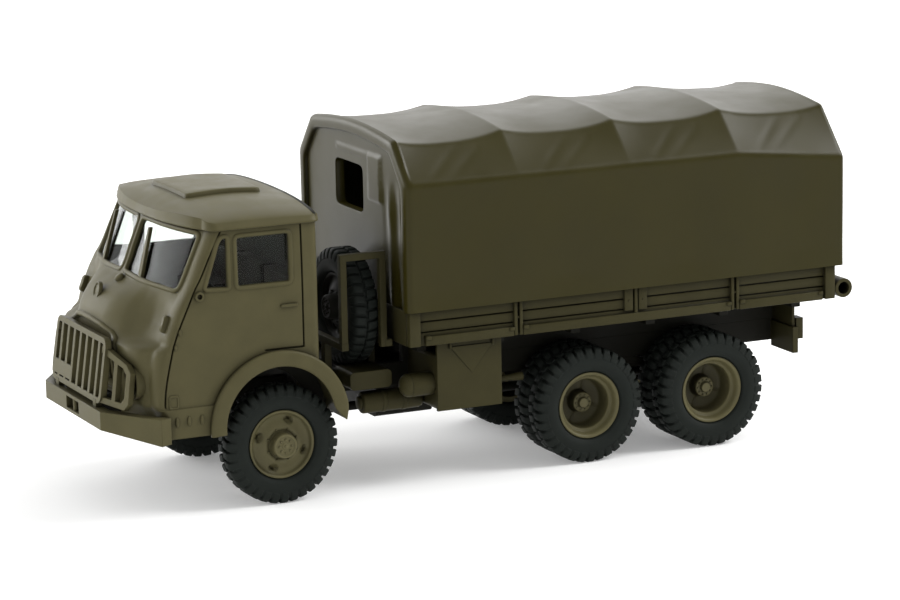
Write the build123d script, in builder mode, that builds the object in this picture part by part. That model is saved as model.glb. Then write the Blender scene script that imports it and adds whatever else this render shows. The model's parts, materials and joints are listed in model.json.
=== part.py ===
"""Scale model of a six-wheel cab-over military cargo truck with a covered bed, in mm.

X points forward, Y to the left and Z up. The ground is Z = 0 and the origin lies under the
middle of the whole model. Each sub-part is one moulding of the model. The model rolls on three
wheelsets: both wheels of an axle are pressed on one pin, which turns in the axle's bore.
"""
import os
from math import cos, pi, radians, sin

from build123d import *

os.makedirs("parts", exist_ok=True)

# driving sizes along the model
FRONT_OVERHANG = 16.9
CAB_BACK = 3.75
SPARE_BAY = 9.24
BED_LENGTH = 47.2
TUBE_R = 0.98
REAR_OVERHANG = 15.45
BOGIE_GAP = 2.24

# driving sizes across and up
HALF_WIDTH = 13.85
TYRE_R = 5.78
TYRE_W = 2.8
AXLE_DROP = 2.82
RAIL_H = 2.3
BED_RISE = 3.1
BOARD_H = 3.42
COVER_H = 17.78
SILL_DROP = 0.73
DOOR_H = 13.63
PILLAR_H = 5.8
ROOF_RISE = 2.15

# wheels
WHEEL_INSET = 1.95
TWIN_GAP = 0.4
RIM_R = 3.35
RIM_SET = 0.4
RIM_FLANGE = 0.2
BARREL_R = 3.0
BARREL_WALL = 0.3
HUB_R = 1.25
HUB_PROUD = 0.95
PIN_R = 0.6
RUNNING_FIT = 0.05
PRESS_FIT = 0.01
LUG_H = 0.42
LUGS = 20
SHOULDER_Y = 1.15
SIDE_RISE = 0.9

# chassis
RAIL_T = 0.9
RAIL_CLEAR = 0.85
RAIL_TAIL = 5.0
BEAM_R = 1.15
BEAM_CLEAR = 0.5
DIFF_R = 1.9
SPRING_T = 0.8
SHAFT_R = 0.45

# bumper and guard
BUMPER_T = 1.1
BUMPER_SET = 0.75
BUMPER_H = 1.77
BUMPER_DROP = 0.8
BUMPER_SWEEP = 3.9
BUMPER_CLEAR = 0.1
GUARD_SET = 0.35
GUARD_T = 0.6
GUARD_BAR = 0.55
GUARD_H = 6.3
GUARD_RAKE = 0.9
GUARD_FOOT = 0.45
GUARD_CLEAR = 0.05

# cab
CAB_INSET = 1.2
CAB_WALL = 0.8
ROOF_LIP = 0.3
HATCH_RISE = 0.3
GLASS_T = 0.35
GLASS_SET = 0.25
SCREEN_POST = 0.55
SEAM_W = 0.16
SEAM_DEPTH = 0.15
RIB_RISE = 0.2
RIB_W = 0.45
ARCH_AHEAD = 0.66
ARCH_RISE = 2.42
ARCH_CLEAR = 1.32
ARCH_GAP = 0.45
ARCH_LIP = 1.45
PAD_H = 0.3
FLOOR_T = 0.6
MUDGUARD_T = 0.6
MUDGUARD_W = 4.6
MUDGUARD_INSET = 0.65

# load bed and cover
BED_INSET = 0.95
BOARD_T = 0.9
PLANK_SET = 0.2
POST_W = 1.0
LEDGE_H = 0.6
DECK_T = 0.8
BEARER_H = 1.2
BEARER_W = 1.0
BEARER_END = 2.69
COVER_EASE = 0.3
COVER_LAP = 0.3
COVER_TAIL = 0.8
COVER_WALL = 0.9
COVER_RIM = 1.4
COVER_RECESS = 1.0
COVER_SAG = 0.75
TUBE_WALL = 0.35

# places along the model
LENGTH = 2 * TUBE_R + BED_LENGTH + SPARE_BAY + CAB_BACK + FRONT_OVERHANG
NOSE_X = LENGTH / 2
TAIL_X = -LENGTH / 2
FRONT_X = NOSE_X - FRONT_OVERHANG
CAB_BACK_X = FRONT_X - CAB_BACK
BED_BACK_X = TAIL_X + 2 * TUBE_R
BED_FRONT_X = BED_BACK_X + BED_LENGTH
BED_MID_X = (BED_FRONT_X + BED_BACK_X) / 2
BOGIE_SPREAD = 2 * TYRE_R + BOGIE_GAP
LAST_X = TAIL_X + REAR_OVERHANG
REAR_X = LAST_X + BOGIE_SPREAD
BOGIE_X = (REAR_X + LAST_X) / 2

# places across the model
WHEEL_FACE_Y = HALF_WIDTH - WHEEL_INSET
TWIN_STEP = TYRE_W + TWIN_GAP
FRONT_WHEEL_Y = WHEEL_FACE_Y - TYRE_W / 2
TWIN_Y = WHEEL_FACE_Y - (TYRE_W + TWIN_STEP) / 2
RAIL_OUT = WHEEL_FACE_Y - TYRE_W - TWIN_STEP - RAIL_CLEAR
RAIL_IN = RAIL_OUT - RAIL_T
RAIL_Y = RAIL_OUT - RAIL_T / 2
CAB_HALF = HALF_WIDTH - CAB_INSET
BED_HALF = HALF_WIDTH - BED_INSET
COVER_HALF = BED_HALF + COVER_EASE

# heights
AXLE_Z = TYRE_R
RAIL_BOTTOM = AXLE_Z + AXLE_DROP
RAIL_TOP = RAIL_BOTTOM + RAIL_H
RAIL_MID_Z = RAIL_BOTTOM + RAIL_H / 2
BED_BOTTOM = RAIL_TOP + BED_RISE
BED_TOP = BED_BOTTOM + BOARD_H
BEARER_Z = BED_BOTTOM - BEARER_H
CAB_SILL = RAIL_BOTTOM - SILL_DROP
CAB_BELT = CAB_SILL + DOOR_H
CAB_EAVES = CAB_BELT + PILLAR_H
ROOF_TOP = CAB_EAVES + ROOF_RISE
BUMPER_TOP = RAIL_TOP - BUMPER_SET

SIDES = (("left", 1), ("right", -1))


def save(builder, name):
    """Name a finished sub-part and write its file."""
    builder.part.label = name
    export_step(builder.part, f"parts/{name}.step")


def bulge(start, end, amount):
    """Point beside the middle of a line, a share of its length out to its left."""
    run = end[0] - start[0]
    rise = end[1] - start[1]
    middle_x = (start[0] + end[0]) / 2 - rise * amount
    middle_y = (start[1] + end[1]) / 2 + run * amount
    return (middle_x, middle_y)


# spare wheel's place, between two beams just ahead of the cover
CARRIER_BEAM = 0.7
CARRIER_BAR = 0.65
CARRIER_GAP = 0.06
CARRIER_SPACE = 1.05
BACK_BEAM_X = BED_FRONT_X + COVER_LAP + CARRIER_BEAM / 2
SPARE_X = BACK_BEAM_X + CARRIER_BEAM / 2 + CARRIER_GAP + TYRE_W / 2
FRONT_BEAM_X = SPARE_X + TYRE_W / 2 + CARRIER_SPACE + CARRIER_BEAM / 2
SPARE_Y = HALF_WIDTH / 5
SPARE_Z = RAIL_TOP + TYRE_R

# frame rails and the cross members between them
RAIL_FRONT_X = NOSE_X - BUMPER_T
RAIL_BACK_X = TAIL_X + RAIL_TAIL
RAIL_LENGTH = RAIL_FRONT_X - RAIL_BACK_X
RAIL_MID_X = (RAIL_FRONT_X + RAIL_BACK_X) / 2

for side, sign in SIDES:
    with BuildPart() as rail:
        with Locations((RAIL_MID_X, sign * RAIL_Y, RAIL_MID_Z)):
            Box(RAIL_LENGTH, RAIL_T, RAIL_H)
        with Locations((RAIL_MID_X, sign * RAIL_IN, RAIL_MID_Z)):
            Box(RAIL_LENGTH, RAIL_T, RAIL_H / 2, mode=Mode.SUBTRACT)
    save(rail, f"frame_rail_{side}")

FIRST_CROSS_X = RAIL_FRONT_X - TYRE_W
with BuildPart() as cross_members:
    for x in (FIRST_CROSS_X, SPARE_X, REAR_X + BOGIE_SPREAD / 2, LAST_X - BOGIE_SPREAD / 2):
        with Locations((x, 0, RAIL_TOP - RAIL_H / 4)):
            Box(TYRE_W, 2 * RAIL_IN, RAIL_H / 2)
save(cross_members, "frame_cross_members")

# front axle with its springs, and the rear bogie
SPRING_TOP = AXLE_Z + BEAM_R + SPRING_T / 2
SPRING_HALF = TYRE_R + SPRING_T / 2
FLANGE_REACH = DIFF_R
FRONT_BEAM_HALF = FRONT_WHEEL_Y - TYRE_W / 2 - BEAM_CLEAR
REAR_BEAM_HALF = TWIN_Y - (TYRE_W + TWIN_STEP) / 2 - BEAM_CLEAR


def spring(x, sign):
    """Leaf spring over the front axle, curved up to the rail at both ends."""
    back = x - SPRING_HALF
    front = x + SPRING_HALF
    low = RAIL_BOTTOM - SPRING_T
    bow = RAIL_BOTTOM - SPRING_TOP
    with BuildSketch(Plane.XZ.offset(-sign * RAIL_Y)) as leaf:
        with BuildLine():
            ThreePointArc((back, RAIL_BOTTOM), (x, SPRING_TOP), (front, RAIL_BOTTOM))
            Line((front, RAIL_BOTTOM), (front, low))
            ThreePointArc((front, low), (x, low - bow), (back, low))
            Line((back, low), (back, RAIL_BOTTOM))
        make_face()
    extrude(leaf.sketch, amount=RAIL_T / 2, both=True)


def axle_beam(x, half_length):
    """Axle housing across the truck with a round case in the middle and a shaft flange."""
    with Locations(Location((x, 0, AXLE_Z), (90, 0, 0))):
        Cylinder(BEAM_R, 2 * half_length)
    with Locations((x, 0, AXLE_Z)):
        Cylinder(DIFF_R, 1.2 * DIFF_R, rotation=(0, 90, 0))
        Cylinder(DIFF_R / 2, 2 * FLANGE_REACH, rotation=(0, 90, 0))


def axle_bore(x, half_length):
    """Running bore for a wheelset's pin."""
    with Locations(Location((x, 0, AXLE_Z), (90, 0, 0))):
        Cylinder(PIN_R + RUNNING_FIT, 2 * half_length, mode=Mode.SUBTRACT)


with BuildPart() as front_axle:
    axle_beam(FRONT_X, FRONT_BEAM_HALF)
    for side, sign in SIDES:
        spring(FRONT_X, sign)
    axle_bore(FRONT_X, FRONT_BEAM_HALF)
save(front_axle, "front_axle")

SADDLE_HALF = BOGIE_GAP * 0.7
with BuildPart() as rear_bogie:
    for x in (REAR_X, LAST_X):
        axle_beam(x, REAR_BEAM_HALF)
    for side, sign in SIDES:
        with BuildSketch(Plane.XZ.offset(-sign * RAIL_Y)):
            with BuildLine():
                ThreePointArc((REAR_X, AXLE_Z), (BOGIE_X, RAIL_BOTTOM - SPRING_T), (LAST_X, AXLE_Z))
                Polyline(
                    (LAST_X, AXLE_Z),
                    (LAST_X, AXLE_Z + BEAM_R),
                    (BOGIE_X - SADDLE_HALF, RAIL_BOTTOM),
                    (BOGIE_X + SADDLE_HALF, RAIL_BOTTOM),
                    (REAR_X, AXLE_Z + BEAM_R),
                    (REAR_X, AXLE_Z),
                )
            make_face()
        extrude(amount=RAIL_T / 2, both=True)
    for x in (REAR_X, LAST_X):
        axle_bore(x, REAR_BEAM_HALF)
save(rear_bogie, "rear_bogie")

# space under the bed between the cab's back and the rear tyres, from front to back
BAY_LENGTH = CAB_BACK_X - REAR_X - TYRE_R


def bay_x(share):
    """Place along the space under the bed, as a share of its length from the front."""
    return CAB_BACK_X - BAY_LENGTH * share


# gearbox and shafts moulded under the frame, and the shaft between the rear axles
CASE_FRONT_X = bay_x(0.4)
CASE_BACK_X = bay_x(0.66)
CASE_TOP = RAIL_TOP - RAIL_H / 2
CASE_BOTTOM = AXLE_Z - SHAFT_R
CASE_ROUND = 0.3 * RAIL_IN / 2
with BuildPart() as drive_train:
    with Locations(((CASE_FRONT_X + CASE_BACK_X) / 2, 0, (CASE_TOP + CASE_BOTTOM) / 2)):
        Box(CASE_FRONT_X - CASE_BACK_X, 2 * RAIL_IN, CASE_TOP - CASE_BOTTOM)
    fillet(drive_train.edges().filter_by(Axis.X).group_by(Axis.Z)[0], CASE_ROUND)
    for start, end in ((CASE_FRONT_X, FRONT_X - FLANGE_REACH), (REAR_X + FLANGE_REACH, CASE_BACK_X)):
        with Locations(((start + end) / 2, 0, AXLE_Z)):
            Cylinder(SHAFT_R, end - start, rotation=(0, 90, 0))
save(drive_train, "drive_train")

with BuildPart() as bogie_shaft:
    with Locations((BOGIE_X, 0, AXLE_Z)):
        Cylinder(SHAFT_R, BOGIE_SPREAD - 2 * FLANGE_REACH, rotation=(0, 90, 0))
save(bogie_shaft, "bogie_shaft")

# front bumper with swept ends and the recess that holds the tow pin
BUMPER_END_X = NOSE_X - BUMPER_SWEEP
BUMPER_FOOT = BUMPER_TOP - BUMPER_H
BUMPER_CORNER_Y = HALF_WIDTH * 0.563
BUMPER_FOLD = 0.36 * BUMPER_T
RECESS_H = 0.66 * BUMPER_H
with BuildPart() as front_bumper:
    with BuildSketch(Plane.XY.offset(BUMPER_FOOT - BUMPER_DROP)):
        with BuildLine():
            Polyline(
                (NOSE_X, BUMPER_CORNER_Y),
                (NOSE_X, -BUMPER_CORNER_Y),
                (BUMPER_END_X, -HALF_WIDTH),
                (BUMPER_END_X - BUMPER_T, -HALF_WIDTH + BUMPER_FOLD),
                (NOSE_X - BUMPER_T, -BUMPER_CORNER_Y + BUMPER_FOLD),
                (NOSE_X - BUMPER_T, BUMPER_CORNER_Y - BUMPER_FOLD),
                (BUMPER_END_X - BUMPER_T, HALF_WIDTH - BUMPER_FOLD),
                (BUMPER_END_X, HALF_WIDTH),
                close=True,
            )
        make_face()
    extrude(amount=BUMPER_H + BUMPER_DROP)
    with BuildSketch(Plane.YZ.offset(BUMPER_END_X - 2 * BUMPER_T)):
        with BuildLine():
            Polyline(
                (-HALF_WIDTH, BUMPER_TOP),
                (HALF_WIDTH, BUMPER_TOP),
                (HALF_WIDTH, BUMPER_FOOT - BUMPER_DROP),
                (BUMPER_CORNER_Y, BUMPER_FOOT),
                (-BUMPER_CORNER_Y, BUMPER_FOOT),
                (-HALF_WIDTH, BUMPER_FOOT - BUMPER_DROP),
                close=True,
            )
        make_face()
    extrude(amount=BUMPER_SWEEP + 3 * BUMPER_T, mode=Mode.INTERSECT)
    with Locations((NOSE_X, 0, BUMPER_TOP - BUMPER_H / 2)):
        Box(BUMPER_T, HALF_WIDTH / 4, RECESS_H, mode=Mode.SUBTRACT)
    with Locations((NOSE_X - BUMPER_T / 3, 0, BUMPER_TOP - BUMPER_H / 2)):
        Cylinder(BUMPER_T / 4, RECESS_H)
save(front_bumper, "front_bumper")

# guard in front of the radiator: a raked frame of bars with a blank plate and a wing on each side
GUARD_FOOT_Z = BUMPER_TOP + GUARD_FOOT
GUARD_HALF = HALF_WIDTH * 0.495
GUARD_BARS = 7
GUARD_X = NOSE_X - GUARD_SET
GUARD_PLANE = Plane(
    origin=(GUARD_X, 0, GUARD_FOOT_Z), x_dir=(0, 1, 0), z_dir=(GUARD_H, 0, GUARD_RAKE)
)
WING_REACH = HALF_WIDTH / 3
WING_TURN = radians(17)
WING_PLANE = Plane(
    origin=(GUARD_X, GUARD_HALF - GUARD_BAR, GUARD_FOOT_Z),
    x_dir=(-sin(WING_TURN), cos(WING_TURN), 0),
    z_dir=(cos(WING_TURN), sin(WING_TURN), GUARD_RAKE / GUARD_H),
)


def wing_outline(shrink):
    """Corners of a guard wing in shares of its reach and the guard's height, drawn inward."""
    corners = ((0, 0.03), (0.87, 0), (1, 0.1), (1, 0.57), (0.85, 0.68), (0, 0.89))
    middle = (0.4, 0.42)
    points = []
    for along, up in corners:
        toward_x = 1 - shrink * 2 / WING_REACH if along else 1
        toward_y = 1 - shrink * 2 / (0.75 * GUARD_H)
        x = WING_REACH * (middle[0] + (along - middle[0]) * toward_x)
        y = GUARD_H * (middle[1] + (up - middle[1]) * toward_y)
        points.append((x, y))
    return points


with BuildPart() as grille_guard:
    with BuildSketch(GUARD_PLANE):
        with Locations((0, GUARD_H / 2)):
            RectangleRounded(2 * GUARD_HALF, GUARD_H, 1.6 * GUARD_BAR)
            RectangleRounded(
                2 * (GUARD_HALF - GUARD_BAR), GUARD_H - 2 * GUARD_BAR, 0.7 * GUARD_BAR, mode=Mode.SUBTRACT
            )
            with GridLocations(2 * GUARD_HALF / (GUARD_BARS + 1), 0, GUARD_BARS, 1):
                Rectangle(GUARD_BAR, GUARD_H - GUARD_BAR)
        with Locations((-0.57 * GUARD_HALF, 0.22 * GUARD_H)):
            Rectangle(0.72 * GUARD_HALF, 0.22 * GUARD_H)
    extrude(amount=-GUARD_T)
    with BuildSketch(WING_PLANE):
        with BuildLine():
            Polyline(wing_outline(0), close=True)
        make_face()
        with BuildLine():
            Polyline(wing_outline(GUARD_BAR), close=True)
        make_face(mode=Mode.SUBTRACT)
        with Locations((WING_REACH / 2, 0.4 * GUARD_H)):
            Rectangle(GUARD_BAR, 0.7 * GUARD_H)
    wing = extrude(amount=-GUARD_T)
    mirror(wing, about=Plane.XZ)
    for side, sign in SIDES:
        with Locations((GUARD_X - GUARD_T / 2, sign * 0.77 * GUARD_HALF, BUMPER_TOP)):
            Box(
                GUARD_T, 1.5 * GUARD_BAR, GUARD_FOOT + GUARD_BAR / 2,
                align=(Align.CENTER, Align.CENTER, Align.MIN),
            )
save(grille_guard, "grille_guard")

# cab body: plan outlines from the sill to the eaves; columns are the share of the height, then
# shares of the cab's length behind the nose for the side's end, the corner and the middle of the
# nose, and the corner's share of the half width
CAB_X = NOSE_X - GUARD_SET - GUARD_RAKE - GUARD_T - GUARD_CLEAR
CAB_LENGTH = CAB_X - CAB_BACK_X
LOW_END = (CAB_X - BUMPER_END_X + BUMPER_T + BUMPER_CLEAR) / CAB_LENGTH
LOW_CORNER = (CAB_X - NOSE_X + BUMPER_T + BUMPER_SWEEP / 2 + BUMPER_H / 2) / CAB_LENGTH
CAB_LOWER = (
    (0.0, LOW_END, LOW_CORNER, 0.064, 0.82),
    (0.376, LOW_END, 0.059, 0.021, 0.775),
    (0.64, 0.203, 0.059, 0.005, 0.696),
    (0.773, 0.245, 0.096, 0.0, 0.696),
    (0.905, 0.288, 0.171, 0.075, 0.76),
    (1.0, 0.32, 0.256, 0.187, 0.838),
)
CAB_UPPER = (
    (0.0, 0.336, 0.267, 0.203, 0.846),
    (1.0, 0.453, 0.384, 0.32, 0.846),
)
CORNER_BULGE = 0.16


def cab_outline(row, base, rise, inset):
    """Plan outline of the cab at one height, drawn inward by a wall's thickness."""
    height, side_end, corner, nose, corner_half = row
    half = CAB_HALF - inset
    back = CAB_BACK_X + inset
    start = (CAB_X - CAB_LENGTH * side_end - inset / 2, half)
    turn = (CAB_X - CAB_LENGTH * corner - inset, CAB_HALF * corner_half - inset / 2)
    far_turn = (turn[0], -turn[1])
    far_start = (start[0], -start[1])
    with BuildSketch(Plane.XY.offset(base + rise * height)) as outline:
        with BuildLine():
            ThreePointArc(start, bulge(start, turn, CORNER_BULGE), turn)
            ThreePointArc(turn, (CAB_X - CAB_LENGTH * nose - inset, 0), far_turn)
            ThreePointArc(far_turn, bulge(far_turn, far_start, CORNER_BULGE), far_start)
            Polyline(far_start, (back, -half), (back, half), start)
        make_face()
    return outline.sketch


def lower_cab(inset):
    """Closed body of the cab below the windows, drawn inward by a wall's thickness."""
    loft([cab_outline(row, CAB_SILL, DOOR_H, inset) for row in CAB_LOWER], ruled=True)


def upper_cab(inset, mode=Mode.ADD):
    """Closed body of the cab between the windows' foot and the eaves."""
    loft([cab_outline(row, CAB_BELT, PILLAR_H, inset) for row in CAB_UPPER], ruled=True, mode=mode)


# roof: cross sections from back to front; columns are the share of the cab's length from the
# back and the share of the roof's rise
ROOF_ROWS = ((-0.04, 0.7), (0.33, 1.0), (0.53, 0.91), (0.64, 0.68), (0.73, 0.2))
ROOF_HALF = CAB_HALF + ROOF_LIP


def roof_section(along, top):
    """Cross section of the roof: a flat crown with rounded shoulders."""
    rise = ROOF_RISE * top
    shoulder = (0.62 * ROOF_HALF, CAB_EAVES + 0.77 * rise)
    edge = (ROOF_HALF + ROOF_LIP, CAB_EAVES + 0.12 * rise)
    far_shoulder = (-shoulder[0], shoulder[1])
    far_edge = (-edge[0], edge[1])
    with BuildSketch(Plane.YZ.offset(CAB_BACK_X + CAB_LENGTH * along)) as section:
        with BuildLine():
            ThreePointArc(shoulder, (0, CAB_EAVES + rise), far_shoulder)
            ThreePointArc(far_shoulder, bulge(far_edge, far_shoulder, 0.07), far_edge)
            Polyline(far_edge, (far_edge[0], CAB_BELT), (edge[0], CAB_BELT), edge)
            ThreePointArc(edge, bulge(shoulder, edge, 0.07), shoulder)
        make_face()
    return section.sketch


with BuildPart() as roof_cap:
    loft([roof_section(*row) for row in ROOF_ROWS], ruled=True)
    roof_plan = cab_outline(CAB_UPPER[1], CAB_BELT, PILLAR_H, -ROOF_LIP)
    extrude(roof_plan, amount=2 * ROOF_RISE, mode=Mode.INTERSECT)

HATCH_MID_X = CAB_BACK_X + 0.339 * CAB_LENGTH
HATCH_HALF = 0.395 * CAB_HALF
with BuildPart() as roof_hatch:
    with BuildSketch(Plane.XY.offset(CAB_EAVES)):
        with Locations((HATCH_MID_X, 0)):
            RectangleRounded(0.416 * CAB_LENGTH, 2 * HATCH_HALF, CAB_WALL)
    extrude(amount=ROOF_RISE + HATCH_RISE)
    chamfer(roof_hatch.faces().sort_by(Axis.Z)[-1].edges(), HATCH_RISE / 2)

with BuildPart() as cab_hollow:
    lower_cab(CAB_WALL)
    upper_cab(CAB_WALL)

# side windows: corners as shares of the cab's length from its back and of the pillars' height
DOOR_PANE = ((0.16, 0), (0.445, 0), (0.445, 0.9), (0.16, 0.9))
QUARTER_PANE = ((0.472, 0), (0.629, 0.05), (0.547, 0.78), (0.504, 0.9), (0.472, 0.9))
SCREEN_HALF = 0.87 * CAB_HALF
SCREEN_LOW = CAB_BELT + 0.04 * PILLAR_H
SCREEN_HIGH = CAB_BELT + 0.96 * PILLAR_H
SCREEN_START_X = CAB_BACK_X + CAB_LENGTH / 2
BACK_HALF = 0.175 * CAB_HALF
BACK_Y = 0.633 * CAB_HALF
BACK_LOW = CAB_BELT + 0.16 * PILLAR_H


def side_windows(outer, inner, mode):
    """Window prisms in both cab sides between two depths below the side's face."""
    for pane in (DOOR_PANE, QUARTER_PANE):
        for side, sign in SIDES:
            with BuildSketch(Plane.XZ.offset(-sign * (CAB_HALF - outer))) as opening:
                with BuildLine():
                    Polyline(
                        [(CAB_BACK_X + CAB_LENGTH * x, CAB_BELT + PILLAR_H * z) for x, z in pane],
                        close=True,
                    )
                make_face()
            extrude(opening.sketch, amount=sign * (inner - outer), mode=mode)


def screen_panes(mode):
    """Both halves of the windscreen opening as prisms along the truck."""
    width = SCREEN_HALF - SCREEN_POST / 2
    with BuildSketch(Plane.YZ.offset(SCREEN_START_X)) as opening:
        with Locations((0, (SCREEN_LOW + SCREEN_HIGH) / 2)):
            with GridLocations(width + SCREEN_POST, 0, 2, 1):
                RectangleRounded(width, SCREEN_HIGH - SCREEN_LOW, CAB_WALL)
    extrude(opening.sketch, amount=CAB_LENGTH / 2, mode=mode)


def back_windows(outer, inner, mode):
    """Two back windows as prisms between two depths ahead of the cab's back."""
    with Locations((CAB_BACK_X + (outer + inner) / 2, 0, (BACK_LOW + SCREEN_HIGH) / 2)):
        with GridLocations(0, 2 * BACK_Y, 1, 2):
            Box(inner - outer, 2 * BACK_HALF, SCREEN_HIGH - BACK_LOW, mode=mode)


# mirror sockets at the front corners of the side windows
SOCKET_X = CAB_BACK_X + 0.65 * CAB_LENGTH
SOCKET_R = 0.45
SOCKET_BORE = 0.25
SOCKET_SET = 0.4
SOCKET_PROUD = 0.3
SOCKET_Z = CAB_BELT - SOCKET_BORE


def socket_cylinder(radius, deep, mode):
    """Short cylinder into both cab sides where a mirror is plugged in."""
    for side, sign in SIDES:
        middle = CAB_HALF + (SOCKET_PROUD - deep) / 2
        with Locations(Location((SOCKET_X, sign * middle, SOCKET_Z), (90, 0, 0))):
            Cylinder(radius, SOCKET_PROUD + deep, mode=mode)


with BuildPart() as mirror_sockets:
    socket_cylinder(SOCKET_R, SOCKET_SET, Mode.ADD)
    socket_cylinder(SOCKET_BORE, SOCKET_SET * 0.75, Mode.SUBTRACT)
save(mirror_sockets, "mirror_sockets")

# arched radiator opening in the nose with a raised rib around it
NOTCH_TOP = RAIL_TOP + GUARD_BAR / 2
GRILLE_FOOT = NOTCH_TOP + GUARD_BAR
GRILLE_HALF = 0.522 * CAB_HALF
GRILLE_SPRING = CAB_SILL + 0.57 * DOOR_H
GRILLE_TOP = CAB_SILL + 0.73 * DOOR_H
GRILLE_SLOTS = 12
GRILLE_SET = 0.3
GRILLE_DEPTH = CAB_LENGTH / 4


def arch_outline(margin):
    """Arched outline of the radiator opening, drawn outward by a margin."""
    half = GRILLE_HALF + margin
    foot = GRILLE_FOOT - margin
    with BuildSketch(Plane.YZ.offset(CAB_X - GRILLE_DEPTH)) as outline:
        with BuildLine():
            ThreePointArc((half, GRILLE_SPRING), (0, GRILLE_TOP + margin), (-half, GRILLE_SPRING))
            Polyline((-half, GRILLE_SPRING), (-half, foot), (half, foot), (half, GRILLE_SPRING))
        make_face()
    return outline.sketch


with BuildPart() as grille_rib:
    lower_cab(-RIB_RISE)
    extrude(arch_outline(RIB_W), amount=2 * GRILLE_DEPTH, mode=Mode.INTERSECT)

# round headlamps on the lower front
LAMP_R = 1.6
LAMP_RIM = 0.35
LAMP_SET = 0.25
LAMP_DEPTH = 1.2
LAMP_X = CAB_X - 0.045 * CAB_LENGTH
LAMP_Y = 0.727 * CAB_HALF
LAMP_Z = CAB_SILL + 0.373 * DOOR_H


def lamp_discs(radius, length, mode=Mode.ADD):
    """Disc on each side that runs back from the headlamps' front."""
    for side, sign in SIDES:
        with Locations((LAMP_X - length / 2, sign * LAMP_Y, LAMP_Z)):
            Cylinder(radius, length, rotation=(0, 90, 0), mode=mode)


# door seams as polylines; columns are shares of the cab's length and of the whole side's height
SIDE_H = DOOR_H + PILLAR_H
SEAMS = (
    ((0.091, 0.98), (0.091, 0.39), (0.3, 0.385)),
    ((0.855, 0.12), (0.802, 0.418), (0.71, 0.675), (0.552, 0.96)),
)

with BuildPart() as cab_shell:
    lower_cab(0)
    upper_cab(0)
    add(grille_rib.part)
    add(roof_cap.part)
    add(roof_hatch.part)
    add(cab_hollow.part, mode=Mode.SUBTRACT)
    side_windows(-2 * ROOF_LIP, 1.5 * CAB_WALL, Mode.SUBTRACT)
    screen_panes(Mode.SUBTRACT)
    back_windows(-ROOF_LIP, 1.5 * CAB_WALL, Mode.SUBTRACT)
    socket_cylinder(SOCKET_R, SOCKET_SET, Mode.SUBTRACT)
    lamp_discs(LAMP_R, LAMP_DEPTH, Mode.SUBTRACT)
    extrude(arch_outline(0), amount=2 * GRILLE_DEPTH, mode=Mode.SUBTRACT)
    for side, sign in SIDES:
        with BuildSketch(Plane.XZ.offset(-sign * (CAB_HALF - SEAM_DEPTH))) as seams:
            for seam in SEAMS:
                with BuildLine():
                    Polyline([(CAB_BACK_X + CAB_LENGTH * x, CAB_SILL + SIDE_H * z) for x, z in seam])
                trace(line_width=SEAM_W)
        extrude(seams.sketch, amount=-sign * 2 * SEAM_DEPTH, mode=Mode.SUBTRACT)
    with Locations(Location((FRONT_X + ARCH_AHEAD, 0, AXLE_Z + ARCH_RISE), (90, 0, 0))):
        Cylinder(TYRE_R + ARCH_CLEAR + ARCH_GAP, 3 * CAB_HALF, mode=Mode.SUBTRACT)
    with Locations((CAB_X, 0, CAB_SILL)):
        Box(GRILLE_DEPTH * 2, 2 * RAIL_OUT + GUARD_BAR, 2 * (NOTCH_TOP - CAB_SILL), mode=Mode.SUBTRACT)
save(cab_shell, "cab_shell")

with BuildPart() as grille_back:
    lower_cab(2 * GRILLE_SET)
with BuildPart() as radiator_grille:
    lower_cab(GRILLE_SET)
    add(grille_back.part, mode=Mode.SUBTRACT)
    extrude(arch_outline(0), amount=2 * GRILLE_DEPTH, mode=Mode.INTERSECT)
    with BuildSketch(Plane.YZ.offset(CAB_X - GRILLE_DEPTH)) as slots:
        with Locations((0, (GRILLE_FOOT + GRILLE_SPRING) / 2)):
            with GridLocations(2 * GRILLE_HALF / (GRILLE_SLOTS + 1), 0, GRILLE_SLOTS, 1):
                Rectangle(GRILLE_HALF / GRILLE_SLOTS, GRILLE_SPRING - GRILLE_FOOT - 2 * RIB_W)
    extrude(slots.sketch, amount=2 * GRILLE_DEPTH, mode=Mode.SUBTRACT)
save(radiator_grille, "radiator_grille")

with BuildPart() as windscreen:
    upper_cab(GLASS_SET)
    upper_cab(GLASS_SET + GLASS_T, mode=Mode.SUBTRACT)
    screen_panes(Mode.INTERSECT)
save(windscreen, "windscreen")

with BuildPart() as side_glass:
    side_windows(GLASS_SET, GLASS_SET + GLASS_T, Mode.ADD)
    back_windows(GLASS_SET, GLASS_SET + GLASS_T, Mode.ADD)
save(side_glass, "side_glass")

# wipers standing on the cab below the glass; columns are shares of the half width at the foot
# and at the tip
WIPER_T = 0.35
WIPER_W = 0.7
WIPERS = ((0.34, 0.24), (-0.5, -0.6))
with BuildPart() as wipers:
    upper_cab(-WIPER_T)
    upper_cab(0, mode=Mode.SUBTRACT)
    with BuildSketch(Plane.YZ.offset(SCREEN_START_X)) as arms:
        for foot, tip in WIPERS:
            with BuildLine():
                Polyline(
                    (CAB_HALF * foot - WIPER_W / 2, CAB_BELT),
                    (CAB_HALF * foot + WIPER_W / 2, CAB_BELT),
                    (CAB_HALF * tip + WIPER_W / 4, CAB_BELT + 0.84 * PILLAR_H),
                    (CAB_HALF * tip - WIPER_W / 4, CAB_BELT + 0.84 * PILLAR_H),
                    close=True,
                )
            make_face()
    extrude(arms.sketch, amount=CAB_LENGTH / 2, mode=Mode.INTERSECT)
save(wipers, "wipers")

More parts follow.
